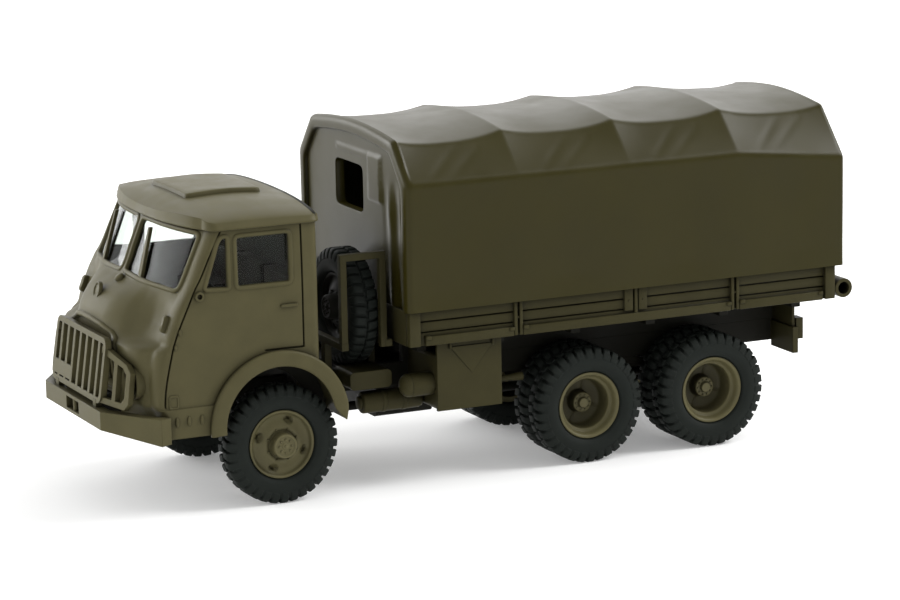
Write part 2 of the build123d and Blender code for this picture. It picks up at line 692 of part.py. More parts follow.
# cab inside: floor, three seats and the dash
ROOM_HALF = CAB_HALF - CAB_WALL
FLOOR_BOTTOM = AXLE_Z + ARCH_RISE + TYRE_R + ARCH_CLEAR + PAD_H
FLOOR_TOP = FLOOR_BOTTOM + FLOOR_T
FLOOR_BACK_X = CAB_BACK_X + CAB_WALL
DASH_X = CAB_BACK_X + 0.648 * CAB_LENGTH
ROOM_LENGTH = DASH_X - FLOOR_BACK_X
ROOM_RISE = CAB_BELT - FLOOR_TOP
SEAT_PITCH = 2 * ROOM_HALF / 3.2
with BuildPart() as cab_interior:
    with Locations(((FLOOR_BACK_X + DASH_X) / 2, 0, FLOOR_BOTTOM + FLOOR_T / 2)):
        Box(ROOM_LENGTH, 2 * ROOM_HALF, FLOOR_T)
    with Locations((FLOOR_BACK_X, 0, FLOOR_TOP)):
        with GridLocations(0, SEAT_PITCH, 1, 3):
            Box(
                0.42 * ROOM_LENGTH, 0.86 * SEAT_PITCH, 0.45 * ROOM_RISE,
                align=(Align.MIN, Align.CENTER, Align.MIN),
            )
            Box(
                0.12 * ROOM_LENGTH, 0.86 * SEAT_PITCH, 1.05 * ROOM_RISE,
                align=(Align.MIN, Align.CENTER, Align.MIN),
            )
    with Locations((DASH_X, 0, FLOOR_TOP)):
        Box(
            0.1 * ROOM_LENGTH, 1.88 * ROOM_HALF, 0.55 * ROOM_RISE,
            align=(Align.MAX, Align.CENTER, Align.MIN),
        )
save(cab_interior, "cab_interior")

# steering wheel on a raked column that stands on the dash
RING_R = 0.16 * CAB_HALF
RING_T = 0.4
COLUMN_R = 0.25
COLUMN_LEAN = 40
COLUMN_FOOT = (DASH_X - 0.05 * ROOM_LENGTH, 0.52 * CAB_HALF, FLOOR_TOP + 0.55 * ROOM_RISE)
COLUMN_L = 0.58 * ROOM_RISE
with BuildPart() as steering_wheel:
    with Locations(Location(COLUMN_FOOT, (0, -COLUMN_LEAN, 0))):
        Cylinder(COLUMN_R, COLUMN_L, align=(Align.CENTER, Align.CENTER, Align.MIN))
        with Locations((0, 0, COLUMN_L)):
            Cylinder(RING_R, RING_T)
            Cylinder(RING_R - RING_T, RING_T, mode=Mode.SUBTRACT)
            Box(RING_T, 2 * RING_R - RING_T, RING_T)
    with Locations(COLUMN_FOOT):
        Box(
            3 * COLUMN_R, 3 * COLUMN_R, 3 * COLUMN_R,
            align=(Align.CENTER, Align.CENTER, Align.MAX), mode=Mode.SUBTRACT,
        )
save(steering_wheel, "steering_wheel")

# front mudguards: a half ring with a deep outer lip and a pad up to the cab floor
ARCH_R = TYRE_R + ARCH_CLEAR
ARCH_X = FRONT_X + ARCH_AHEAD
ARCH_Z = AXLE_Z + ARCH_RISE
MUDGUARD_Y = HALF_WIDTH - MUDGUARD_INSET
with BuildPart() as front_mudguards:
    for side, sign in SIDES:
        for depth, width in ((MUDGUARD_T, MUDGUARD_W), (ARCH_LIP, MUDGUARD_T)):
            with BuildSketch(Plane.XZ.offset(-sign * MUDGUARD_Y)):
                with Locations((ARCH_X, ARCH_Z)):
                    Circle(ARCH_R)
                    Circle(ARCH_R - depth, mode=Mode.SUBTRACT)
                with Locations((ARCH_X, ARCH_Z - ARCH_R)):
                    Rectangle(3 * ARCH_R, 2 * ARCH_R, mode=Mode.SUBTRACT)
            extrude(amount=sign * width)
        with Locations((ARCH_X, sign * (MUDGUARD_Y - MUDGUARD_W / 2 - MUDGUARD_INSET), FLOOR_BOTTOM)):
            Box(
                TYRE_R / 2, MUDGUARD_W - 2 * MUDGUARD_INSET, PAD_H + MUDGUARD_T / 2,
                align=(Align.CENTER, Align.CENTER, Align.MAX),
            )
save(front_mudguards, "front_mudguards")

# headlamps: a housing in each pocket of the cab's front, with a lens set in it
with BuildPart() as headlamps:
    lamp_discs(LAMP_R, LAMP_DEPTH)
    lamp_discs(LAMP_R - LAMP_RIM, LAMP_SET, Mode.SUBTRACT)
save(headlamps, "headlamps")

with BuildPart() as headlamp_lenses:
    lamp_discs(LAMP_R - LAMP_RIM, LAMP_SET)
    chamfer(headlamp_lenses.faces().filter_by(Axis.X).group_by(Axis.X)[-1].edges(), LAMP_SET / 2)
save(headlamp_lenses, "headlamp_lenses")

# spare wheel carrier: two beams over the frame with an upright frame on the left
CARRIER_RISE = 3.4
POST_SHIFT = 0.7 * CARRIER_BEAM
CARRIER_OVER = 0.54
CARRIER_CLEAR = 0.1
CARRIER_Y = SPARE_Y + TYRE_R + CARRIER_CLEAR + CARRIER_BAR / 2
CARRIER_FOOT = RAIL_TOP + CARRIER_RISE
CARRIER_TOP = RAIL_TOP + 2 * TYRE_R + CARRIER_OVER
BEAM_POSTS = ((FRONT_BEAM_X, FRONT_BEAM_X), (BACK_BEAM_X, BACK_BEAM_X + POST_SHIFT))
with BuildPart() as spare_carrier:
    for beam_x, post_x in BEAM_POSTS:
        with Locations((beam_x, 0, CARRIER_FOOT - CARRIER_BEAM / 2)):
            Box(CARRIER_BEAM, 2 * CARRIER_Y + CARRIER_BEAM, CARRIER_BEAM)
        with Locations((post_x, CARRIER_Y, (CARRIER_FOOT + CARRIER_TOP - CARRIER_BEAM) / 2)):
            Box(CARRIER_BAR, CARRIER_BAR, CARRIER_TOP - CARRIER_FOOT + CARRIER_BEAM)
        with Locations((beam_x, 0, RAIL_TOP)):
            with GridLocations(0, 2 * RAIL_Y, 1, 2):
                Box(
                    CARRIER_BEAM, RAIL_T, CARRIER_RISE - CARRIER_BEAM,
                    align=(Align.CENTER, Align.CENTER, Align.MIN),
                )
    bar_back = BACK_BEAM_X + POST_SHIFT - CARRIER_BAR / 2
    with Locations((bar_back, CARRIER_Y, CARRIER_TOP - CARRIER_BAR / 2)):
        Box(
            FRONT_BEAM_X + CARRIER_BAR / 2 - bar_back, CARRIER_BAR, CARRIER_BAR,
            align=(Align.MIN, Align.CENTER, Align.CENTER),
        )
save(spare_carrier, "spare_carrier")

# load bed: deck on two runners and bearers, and a board with planks and posts on each side
BEARERS = 6
BEARER_REACH = 0.8
BEARER_STEP = (BED_LENGTH - 2 * BEARER_END) / (BEARERS - 1)
DECK_HALF = BED_HALF - BOARD_T
with BuildPart() as bed_deck:
    with Locations((BED_MID_X, 0, BED_BOTTOM + DECK_T / 2)):
        Box(BED_LENGTH - 2 * BOARD_T, 2 * DECK_HALF, DECK_T)
    with Locations((BED_MID_X, 0, (RAIL_TOP + BED_BOTTOM) / 2)):
        with GridLocations(0, 2 * RAIL_Y, 1, 2):
            Box(BED_LENGTH - 2 * BEARER_END, RAIL_T, BED_RISE)
    with Locations((BED_MID_X, 0, BED_BOTTOM - BEARER_H / 2)):
        with GridLocations(BEARER_STEP, 0, BEARERS, 1):
            Box(BEARER_W, 2 * BEARER_REACH * DECK_HALF, BEARER_H)
save(bed_deck, "bed_deck")

POSTS = 5
PLANKS = 3
GROOVE = 0.18
for side, sign in SIDES:
    with BuildPart() as board:
        with Locations((BED_MID_X, sign * DECK_HALF, BED_BOTTOM)):
            inner = Align.MIN if sign > 0 else Align.MAX
            Box(BED_LENGTH, BOARD_T - PLANK_SET, BOARD_H, align=(Align.CENTER, inner, Align.MIN))
            Box(BED_LENGTH, BOARD_T, LEDGE_H, align=(Align.CENTER, inner, Align.MIN))
            with GridLocations((BED_LENGTH - POST_W) / (POSTS - 1), 0, POSTS, 1):
                Box(POST_W, BOARD_T, BOARD_H, align=(Align.CENTER, inner, Align.MIN))
        for plank in range(1, PLANKS):
            groove_z = BED_BOTTOM + LEDGE_H + (BOARD_H - LEDGE_H) * plank / PLANKS
            with Locations((BED_MID_X, sign * (BED_HALF - PLANK_SET), groove_z)):
                Box(BED_LENGTH, GROOVE, GROOVE, mode=Mode.SUBTRACT)
    save(board, f"side_board_{side}")

for name, x in (("headboard", BED_FRONT_X - BOARD_T / 2), ("tailboard", BED_BACK_X + BOARD_T / 2)):
    with BuildPart() as end_board:
        with Locations((x, 0, BED_BOTTOM + BOARD_H / 2)):
            Box(BOARD_T, 2 * DECK_HALF, BOARD_H)
    save(end_board, name)

# tube across the tail, held by two straps behind the tailboard
TUBE_X = TAIL_X + TUBE_R
TUBE_Z = BED_BOTTOM + TUBE_R
with BuildPart() as tail_tube:
    with Locations(Location((TUBE_X, 0, TUBE_Z), (90, 0, 0))):
        Cylinder(TUBE_R, 2 * BED_HALF)
        Cylinder(TUBE_R - TUBE_WALL, 2 * BED_HALF, mode=Mode.SUBTRACT)
    for side, sign in SIDES:
        with Locations(((TUBE_X + BED_BACK_X) / 2, sign * BED_HALF / 2, TUBE_Z + TUBE_R - TUBE_WALL / 2)):
            Box(BED_BACK_X - TUBE_X, BEARER_W, TUBE_WALL)
save(tail_tube, "tail_tube")

# cover: hoops with the roof sagging between them; columns are the share of the length from the
# front, and shares of the cover's height and half width: ridge, shoulder, shoulder height, haunch
HOOPS = (
    (0.0, 0.994, 0.788, 0.91, 0.691),
    (0.25, 1.0, 0.788, 0.91, 0.691),
    (0.5, 1.0, 0.788, 0.91, 0.691),
    (0.75, 0.994, 0.788, 0.904, 0.691),
    (1.0, 0.927, 0.727, 0.842, 0.629),
)
SAG_STEPS = 4
COVER_FRONT_X = BED_FRONT_X + COVER_LAP
COVER_BACK_X = BED_BACK_X - COVER_TAIL
COVER_LENGTH = COVER_FRONT_X - COVER_BACK_X


def cover_outline(x, hoop, sag, inset, foot):
    """Cross section of the cover at one place along the bed, lowered by a sag."""
    ridge, shoulder, shoulder_rise, haunch_rise = hoop
    half = COVER_HALF - inset
    shoulder_half = COVER_HALF * shoulder - (inset + sag) / 2
    ridge_z = BED_TOP + COVER_H * ridge - sag - inset
    shoulder_z = BED_TOP + COVER_H * shoulder_rise - sag - inset
    haunch_z = BED_TOP + COVER_H * haunch_rise - sag - inset / 2
    between_z = (2 * ridge_z + shoulder_z) / 3
    with BuildSketch(Plane.YZ.offset(x)) as outline:
        with BuildLine():
            Polyline(
                (-half, foot),
                (half, foot),
                (half, haunch_z),
                (shoulder_half, shoulder_z),
                (shoulder_half / 2, between_z),
                (0, ridge_z),
                (-shoulder_half / 2, between_z),
                (-shoulder_half, shoulder_z),
                (-half, haunch_z),
                close=True,
            )
        make_face()
    return outline.sketch


sections = []
for hoop, after in zip(HOOPS, HOOPS[1:]):
    for step in range(SAG_STEPS):
        share = step / SAG_STEPS
        along, *shape = (a + (b - a) * share for a, b in zip(hoop, after))
        sag = COVER_SAG * sin(pi * share)
        sections.append(cover_outline(COVER_FRONT_X - COVER_LENGTH * along, shape, sag, 0, BED_TOP))
sections.append(cover_outline(COVER_BACK_X, HOOPS[-1][1:], 0, 0, BED_TOP))
LOAD_LENGTH = COVER_LENGTH - COVER_RECESS - 2 * COVER_WALL
UNDER_FOOT = BED_TOP - COVER_WALL
with BuildPart() as cover:
    loft(sections, ruled=True)
    room = cover_outline(COVER_BACK_X + COVER_WALL, HOOPS[-1][1:], 0, COVER_WALL, UNDER_FOOT)
    extrude(room, amount=LOAD_LENGTH, mode=Mode.SUBTRACT)
    face = cover_outline(COVER_FRONT_X - COVER_RECESS, HOOPS[0][1:], 0, COVER_RIM, UNDER_FOOT)
    extrude(face, amount=2 * COVER_RECESS, mode=Mode.SUBTRACT)
    with Locations((COVER_FRONT_X - COVER_RECESS, -0.15 * COVER_HALF, BED_TOP + 0.58 * COVER_H)):
        Box(4 * COVER_WALL, 0.46 * COVER_HALF, 0.26 * COVER_H, mode=Mode.SUBTRACT)
save(cover, "cover")

# boxes under the bed; columns: name, front and back as shares of the space under the bed, outer
# share of the half width, bottom and top as shares of the height under the bearers, side; the
# stowage box has a flap in front that reaches up to the deck
UNDER_Z = AXLE_Z + BEAM_R - SHAFT_R / 2
UNDER_H = BEARER_Z - UNDER_Z
BOXES = (
    ("stowage_box", 0.533, 0.828, 0.866, 0.08, 1.0, 1),
    ("battery_box", 0.195, 0.383, 0.65, 0.46, 0.75, 1),
    ("step_box", 0.246, 0.533, 0.65, 0.03, 0.46, 1),
    ("fuel_tank", 0.246, 0.717, 0.838, 0.07, 0.94, -1),
)
BOX_ROUND = 0.08 * UNDER_H
FLAP_T = 0.35
for name, front, back, outer, low, high, sign in BOXES:
    with BuildPart() as box:
        with Locations((bay_x(back), sign * RAIL_OUT, UNDER_Z + UNDER_H * low)):
            Box(
                BAY_LENGTH * (back - front), HALF_WIDTH * outer - RAIL_OUT, UNDER_H * (high - low),
                align=(Align.MIN, Align.MIN if sign > 0 else Align.MAX, Align.MIN),
            )
        fillet(box.edges().filter_by(Axis.Y), BOX_ROUND)
        if name == "stowage_box":
            with Locations((bay_x(back), HALF_WIDTH * outer, UNDER_Z + UNDER_H * low)):
                Box(
                    BAY_LENGTH * (back - front), FLAP_T, BED_BOTTOM - UNDER_Z - UNDER_H * low,
                    align=(Align.MIN, Align.MAX, Align.MIN),
                )
    save(box, name)

AIR_TANK_R = 1.15
AIR_TANK_GAP = 0.25
AIR_TANK_Y = 0.65 * HALF_WIDTH + AIR_TANK_GAP + AIR_TANK_R
AIR_TANK_L = bay_x(0.392) - bay_x(0.533)
with BuildPart() as air_tank:
    with Locations((bay_x(0.533) + AIR_TANK_L / 2, AIR_TANK_Y, UNDER_Z + UNDER_H / 2)):
        Cylinder(AIR_TANK_R, AIR_TANK_L, rotation=(0, 90, 0))
    chamfer(air_tank.edges().group_by(Axis.X)[-1], AIR_TANK_R / 2)
save(air_tank, "air_tank")

PIPE_R = 0.42
PIPE_L = bay_x(0.828) - bay_x(0.97)
with BuildPart() as exhaust_pipe:
    with Locations((bay_x(0.97), 0.7 * HALF_WIDTH, UNDER_Z + 0.4 * UNDER_H)):
        Cylinder(PIPE_R, PIPE_L, rotation=(0, 90, 0), align=(Align.CENTER, Align.CENTER, Align.MIN))
        Cylinder(PIPE_R * 0.7, PIPE_L, rotation=(0, 90, 0), mode=Mode.SUBTRACT)
save(exhaust_pipe, "exhaust_pipe")

# tail: a plate with a lamp on each side, hung from the last bearer, and the tow jaw in the middle
PLATE_X = BED_BACK_X + BEARER_END
PLATE_T = 0.6
PLATE_W = 4.5
PLATE_H = 2.7
PLATE_Z = RAIL_BOTTOM - PLATE_T
TAIL_LAMP_D = 0.8
TAIL_LAMP_W = 1.4
TAIL_LAMP_Y = RAIL_OUT + 0.76 * PLATE_W
for side, sign in SIDES:
    with BuildPart() as hanger:
        with Locations((PLATE_X, sign * (RAIL_OUT + PLATE_W / 2), PLATE_Z)):
            Box(PLATE_T, PLATE_W, PLATE_H, align=(Align.CENTER, Align.CENTER, Align.MIN))
        with Locations((PLATE_X, sign * (RAIL_OUT + 0.45 * PLATE_W), PLATE_Z)):
            Box(
                PLATE_T / 2, 0.9 * PLATE_W, BEARER_Z - PLATE_Z,
                align=(Align.CENTER, Align.CENTER, Align.MIN),
            )
        with Locations((PLATE_X - PLATE_T / 2, sign * TAIL_LAMP_Y, PLATE_Z + PLATE_H / 2)):
            Box(
                TAIL_LAMP_D, TAIL_LAMP_W, 0.8 * PLATE_H,
                align=(Align.MAX, Align.CENTER, Align.MIN),
            )
    save(hanger, f"tail_plate_{side}")

JAW_R = 1.1
JAW_BORE = 0.5
JAW_GAP = 0.8
JAW_EAR = 0.6
JAW_PLATE = 0.3
JAW_X = RAIL_BACK_X - JAW_R - JAW_PLATE
with BuildPart() as tow_jaw:
    for ear in (-1, 1):
        ear_z = RAIL_MID_Z + ear * (JAW_GAP + JAW_EAR) / 2
        with Locations((JAW_X, 0, ear_z)):
            Cylinder(JAW_R, JAW_EAR)
            Box(
                RAIL_BACK_X - JAW_X, 2 * JAW_R, JAW_EAR, align=(Align.MIN, Align.CENTER, Align.CENTER)
            )
    with Locations((RAIL_BACK_X, 0, RAIL_MID_Z)):
        Box(JAW_PLATE, 2 * RAIL_OUT, RAIL_H, align=(Align.MAX, Align.CENTER, Align.CENTER))
    with Locations((JAW_X, 0, RAIL_MID_Z)):
        Cylinder(JAW_BORE, RAIL_H * 2, mode=Mode.SUBTRACT)
save(tow_jaw, "tow_jaw")

# tyres: a turned body with two rows of lugs that stand half a step apart
LUG_STEP = 2 * pi / LUGS
LUG_TIP = 0.27 * LUG_STEP
LUG_BASE = 0.36 * LUG_STEP
ROOT_R = TYRE_R - LUG_H
TIP_R = TYRE_R / cos(LUG_TIP)


def lug_row(start, end, turn):
    """Ring of lugs between two places across the tread; a lug's flat stands on the ground."""
    points = []
    for lug in range(LUGS):
        middle = (lug + turn) * LUG_STEP - pi / 2
        for radius, step in ((ROOT_R, -LUG_BASE), (TIP_R, -LUG_TIP), (TIP_R, LUG_TIP), (ROOT_R, LUG_BASE)):
            points.append((radius * cos(middle + step), radius * sin(middle + step)))
    with BuildSketch(Plane.XZ.offset(-start)) as ring:
        with BuildLine():
            Polyline(points, close=True)
        make_face()
        Circle(BARREL_R + SIDE_RISE, mode=Mode.SUBTRACT)
    extrude(ring.sketch, amount=start - end)


def tyre(middle):
    """One tyre about the Y axis: turned body and both rows of lugs."""
    bead = TYRE_W / 2 - RIM_SET - RIM_FLANGE - PRESS_FIT
    wide = TYRE_W / 2
    with BuildSketch(Plane.YX) as section:
        with BuildLine():
            Polyline(
                (middle - bead, BARREL_R + PRESS_FIT),
                (middle + bead, BARREL_R + PRESS_FIT),
                (middle + bead, RIM_R + PRESS_FIT),
                (middle + wide, RIM_R + SIDE_RISE),
                (middle + SHOULDER_Y, ROOT_R - LUG_H / 4),
                (middle - SHOULDER_Y, ROOT_R - LUG_H / 4),
                (middle - wide, RIM_R + SIDE_RISE),
                (middle - bead, RIM_R + PRESS_FIT),
                close=True,
            )
        make_face()
    revolve(section.sketch, axis=Axis.Y)
    lug_row(middle - SHOULDER_Y, middle, 0)
    lug_row(middle, middle + SHOULDER_Y, 0.5)


with BuildPart() as front_tyre:
    tyre(0)
with BuildPart() as twin_tyres:
    tyre(-TWIN_STEP / 2)
    tyre(TWIN_STEP / 2)

# rims turned about the Y axis, with the outer side at positive Y
FRONT_OUT = TYRE_W / 2 - RIM_SET
DISC_T = 0.5
HAND_HOLES = 4
with BuildPart() as front_rim:
    with BuildSketch(Plane.YX) as section:
        with BuildLine():
            Polyline(
                (-FRONT_OUT, BARREL_R - BARREL_WALL),
                (-FRONT_OUT, RIM_R),
                (-FRONT_OUT + RIM_FLANGE, RIM_R),
                (-FRONT_OUT + RIM_FLANGE, BARREL_R),
                (FRONT_OUT - RIM_FLANGE, BARREL_R),
                (FRONT_OUT - RIM_FLANGE, RIM_R),
                (FRONT_OUT, RIM_R),
                (FRONT_OUT, BARREL_R - BARREL_WALL / 2),
                (FRONT_OUT - DISC_T, BARREL_R - 2 * BARREL_WALL),
                (FRONT_OUT, 1.4 * HUB_R),
                (FRONT_OUT, HUB_R),
                (FRONT_OUT + HUB_PROUD, 0.9 * HUB_R),
                (FRONT_OUT + HUB_PROUD, 0),
                (FRONT_OUT - DISC_T, 0),
                (FRONT_OUT - DISC_T, PIN_R + PRESS_FIT),
                (-FRONT_OUT, PIN_R + PRESS_FIT),
                (-FRONT_OUT, HUB_R),
                (FRONT_OUT - 2 * DISC_T, 1.2 * HUB_R),
                (FRONT_OUT - 2 * DISC_T, BARREL_R - BARREL_WALL),
                close=True,
            )
        make_face()
    revolve(section.sketch, axis=Axis.Y)
    with Locations(Location((0, FRONT_OUT, 0), (90, 0, 0))):
        with PolarLocations((BARREL_R + HUB_R) / 2, HAND_HOLES, start_angle=90):
            Cylinder(0.8 * BARREL_WALL, 4 * DISC_T, mode=Mode.SUBTRACT)

TWIN_OUT = (TYRE_W + TWIN_STEP) / 2 - RIM_SET
TWIN_IN = TWIN_GAP / 2 + RIM_SET
TWIN_DISC = 0.3
TWIN_HUB = TWIN_OUT - 1.1
with BuildPart() as twin_rim:
    with BuildSketch(Plane.YX) as section:
        with BuildLine():
            Polyline(
                (-TWIN_OUT, BARREL_R - BARREL_WALL),
                (-TWIN_OUT, RIM_R),
                (-TWIN_OUT + RIM_FLANGE, RIM_R),
                (-TWIN_OUT + RIM_FLANGE, BARREL_R),
                (-TWIN_IN - RIM_FLANGE, BARREL_R),
                (-TWIN_IN - RIM_FLANGE, RIM_R),
                (TWIN_IN + RIM_FLANGE, RIM_R),
                (TWIN_IN + RIM_FLANGE, BARREL_R),
                (TWIN_OUT - RIM_FLANGE, BARREL_R),
                (TWIN_OUT - RIM_FLANGE, RIM_R),
                (TWIN_OUT, RIM_R),
                (TWIN_OUT, BARREL_R - BARREL_WALL / 2),
                (TWIN_IN, BARREL_R - 2 * BARREL_WALL),
                (TWIN_IN - TWIN_DISC, 1.2 * HUB_R),
                (TWIN_HUB, HUB_R),
                (TWIN_HUB, 0),
                (TWIN_IN - TWIN_DISC, 0),
                (TWIN_IN - TWIN_DISC, PIN_R + PRESS_FIT),
                (-TWIN_OUT, PIN_R + PRESS_FIT),
                (-TWIN_OUT, HUB_R),
                (-TWIN_IN, HUB_R),
                (-TWIN_IN, BARREL_R - BARREL_WALL),
                close=True,
            )
        make_face()
    revolve(section.sketch, axis=Axis.Y)

# columns: name, axle place, middle of the left wheel, tyre, rim, depth of the pin's socket
WHEELSETS = (
    ("front", FRONT_X, FRONT_WHEEL_Y, front_tyre, front_rim, FRONT_OUT - DISC_T),
    ("rear_1", REAR_X, TWIN_Y, twin_tyres, twin_rim, TWIN_IN - TWIN_DISC),
    ("rear_2", LAST_X, TWIN_Y, twin_tyres, twin_rim, TWIN_IN - TWIN_DISC),
)
for name, x, wheel_y, tyre_shape, rim_shape, socket in WHEELSETS:
    with BuildPart() as pin:
        with Locations(Location((x, 0, AXLE_Z), (90, 0, 0))):
            Cylinder(PIN_R, 2 * (wheel_y + socket))
    save(pin, f"{name}_pin")
    for side, sign in SIDES:
        turn = 0 if sign > 0 else 180
        for kind, shape in (("tyre", tyre_shape), ("rim", rim_shape)):
            with BuildPart() as wheel:
                with Locations(Location((x, sign * wheel_y, AXLE_Z), (0, 0, turn))):
                    add(shape.part)
            save(wheel, f"{name}_{kind}_{side}")

# spare wheel, standing across the truck on a cross member
for kind, shape in (("tyre", front_tyre), ("rim", front_rim)):
    with BuildPart() as spare:
        with Locations(Location((SPARE_X, SPARE_Y, SPARE_Z), (0, 0, -90))):
            add(shape.part)
    save(spare, f"spare_{kind}")
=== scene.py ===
"""Small plastic model of a covered six-wheel cargo truck, finished on its CAD frame.

Laid out as an add-on: settings, one operator for each group of pieces, and a sidebar panel.
Run as a script, it registers and builds the pieces in order.
Lengths in the tables are millimetres in the CAD frame: X forward, Y to the left, Z up.
"""
import json
import math

import bmesh
import bpy
import numpy as np
from bpy.props import FloatProperty, FloatVectorProperty, IntProperty, PointerProperty
from bpy.types import Operator, Panel, PropertyGroup
from mathutils import Matrix, Vector


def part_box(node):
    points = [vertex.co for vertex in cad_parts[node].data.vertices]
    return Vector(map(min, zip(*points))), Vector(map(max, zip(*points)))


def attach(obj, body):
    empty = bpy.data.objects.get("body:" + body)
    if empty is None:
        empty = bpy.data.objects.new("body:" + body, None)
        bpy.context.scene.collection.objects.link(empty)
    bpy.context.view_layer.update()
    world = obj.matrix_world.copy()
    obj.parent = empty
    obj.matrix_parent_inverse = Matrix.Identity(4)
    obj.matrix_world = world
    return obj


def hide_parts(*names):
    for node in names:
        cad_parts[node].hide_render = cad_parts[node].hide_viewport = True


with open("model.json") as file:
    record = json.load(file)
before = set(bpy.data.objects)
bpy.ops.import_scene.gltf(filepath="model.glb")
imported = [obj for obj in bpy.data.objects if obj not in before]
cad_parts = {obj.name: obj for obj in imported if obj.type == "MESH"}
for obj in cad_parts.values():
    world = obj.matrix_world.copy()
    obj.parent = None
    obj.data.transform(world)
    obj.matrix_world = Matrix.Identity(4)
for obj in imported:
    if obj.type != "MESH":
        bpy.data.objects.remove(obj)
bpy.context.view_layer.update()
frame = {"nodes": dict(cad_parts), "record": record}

bl_info = {
    "name": "Covered cargo truck model",
    "version": (1, 0, 0),
    "blender": (4, 5, 0),
    "location": "View3D > Sidebar > Truck",
    "description": "Builds the visible pieces of a small plastic cargo truck on its CAD frame",
    "category": "Object",
}

MM = 0.001
SIDES = ((1, "left"), (-1, "right"))

# wheel places and sizes, from the CAD
AXLE_Z = 5.78
TYRE_R = 5.78
TYRE_HALF = 1.4
RIM_R = 3.35
# columns: body, axle X, middles of the tyres on the left side, name
WHEELSETS = (
    ("front_wheelset", 22.625, (10.5,), "front"),
    ("rear_wheelset_1", -10.275, (10.5, 7.3), "rear_1"),
    ("rear_wheelset_2", -24.075, (10.5, 7.3), "rear_2"),
)
SPARE = (12.095, 2.77, 16.68)

# the bed and what hangs under it, in a darker copy of the cab plastic: painted shade for the cover's overhang and
# the dark underside
BED_NODES = (
    "side_board_left", "side_board_right", "headboard", "tailboard", "tail_tube", "stowage_box",
    "battery_box", "step_box", "air_tank", "exhaust_pipe", "fuel_tank", "tail_plate_left", "tail_plate_right",
    "tow_jaw", "spare_carrier",
)

# cover: front and back ends, half width, foot and height above it
COVER_FRONT = 9.935
COVER_BACK = -38.365
COVER_HALF = 13.2
COVER_FOOT = 17.42
COVER_H = 17.78
# how far the front wall stands back from the front edge
COVER_RECESS = 0.45
# window in the front wall: middle and half size, as (y, z)
COVER_WINDOW = ((-1.3, 27.8), (3.3, 2.3))
# hoops; columns: share of the length from the front, then as shares of the cover's size the ridge's height,
# the shoulder's half width and height, and the haunch's height
HOOPS = (
    (0.0, 0.961, 0.755, 0.917, 0.700),
    (0.25, 0.961, 0.700, 0.919, 0.700),
    (0.5, 0.961, 0.700, 0.919, 0.700),
    (0.75, 0.961, 0.700, 0.919, 0.700),
    (1.0, 0.935, 0.674, 0.892, 0.629),
)


def colour(name, description, default):
    """A colour setting."""
    return FloatVectorProperty(
        name=name, description=description, subtype="COLOR", size=3, min=0.0, max=1.0, default=default)


class TruckSettings(PropertyGroup):
    """Sizes and colours that a user would change."""

    olive: colour("Olive plastic", "Colour of the cab, bed and wheels", (0.085, 0.0762, 0.0365))
    cover_olive: colour("Cover plastic", "Colour of the cover", (0.032, 0.0272, 0.0040))
    # painted shade: the bed's olive is darkened for the shadow under the cover and under the bed
    bed_shaded_olive: colour("Bed plastic", "Colour of the bed and what hangs under it", (0.046, 0.041, 0.0165))
    # dark chassis plastic made near black, partly as painted shade; also used as painted shade on the cab's
    # inside, the bed's deck and the spare rim
    dark_olive_and_shade: colour("Chassis plastic", "Colour of the chassis and the cab's inside", (0.011, 0.0105, 0.007))
    tyre_black: colour("Tyre", "Colour of the tyres", (0.013, 0.016, 0.0135))
    lugs: IntProperty(name="Lugs", description="Lugs in one row of a tyre", default=34, min=12, max=60)
    lug_height: FloatProperty(
        name="Lug height", description="Height of the lugs above the tyre's body", default=0.00042,
        min=0.0001, max=0.0008, unit="LENGTH", subtype="DISTANCE")
    sag: FloatProperty(
        name="Cover sag", description="How far the cover's roof hangs between two hoops", default=0.00066,
        min=0.0, max=0.002, unit="LENGTH", subtype="DISTANCE")
    edge: FloatProperty(
        name="Edge radius", description="Rounding of the moulded edges", default=0.00012, min=0.00002,
        max=0.0005, unit="LENGTH", subtype="DISTANCE")


def settings():
    """The truck's settings in the open scene."""
    return bpy.context.scene.truck_model


# materials

def node(tree, kind, **values):
    """One shader node with its input values set by name."""
    made = tree.nodes.new(kind)
    for key, value in values.items():
        made.inputs[key.replace("_", " ")].default_value = value
    return made


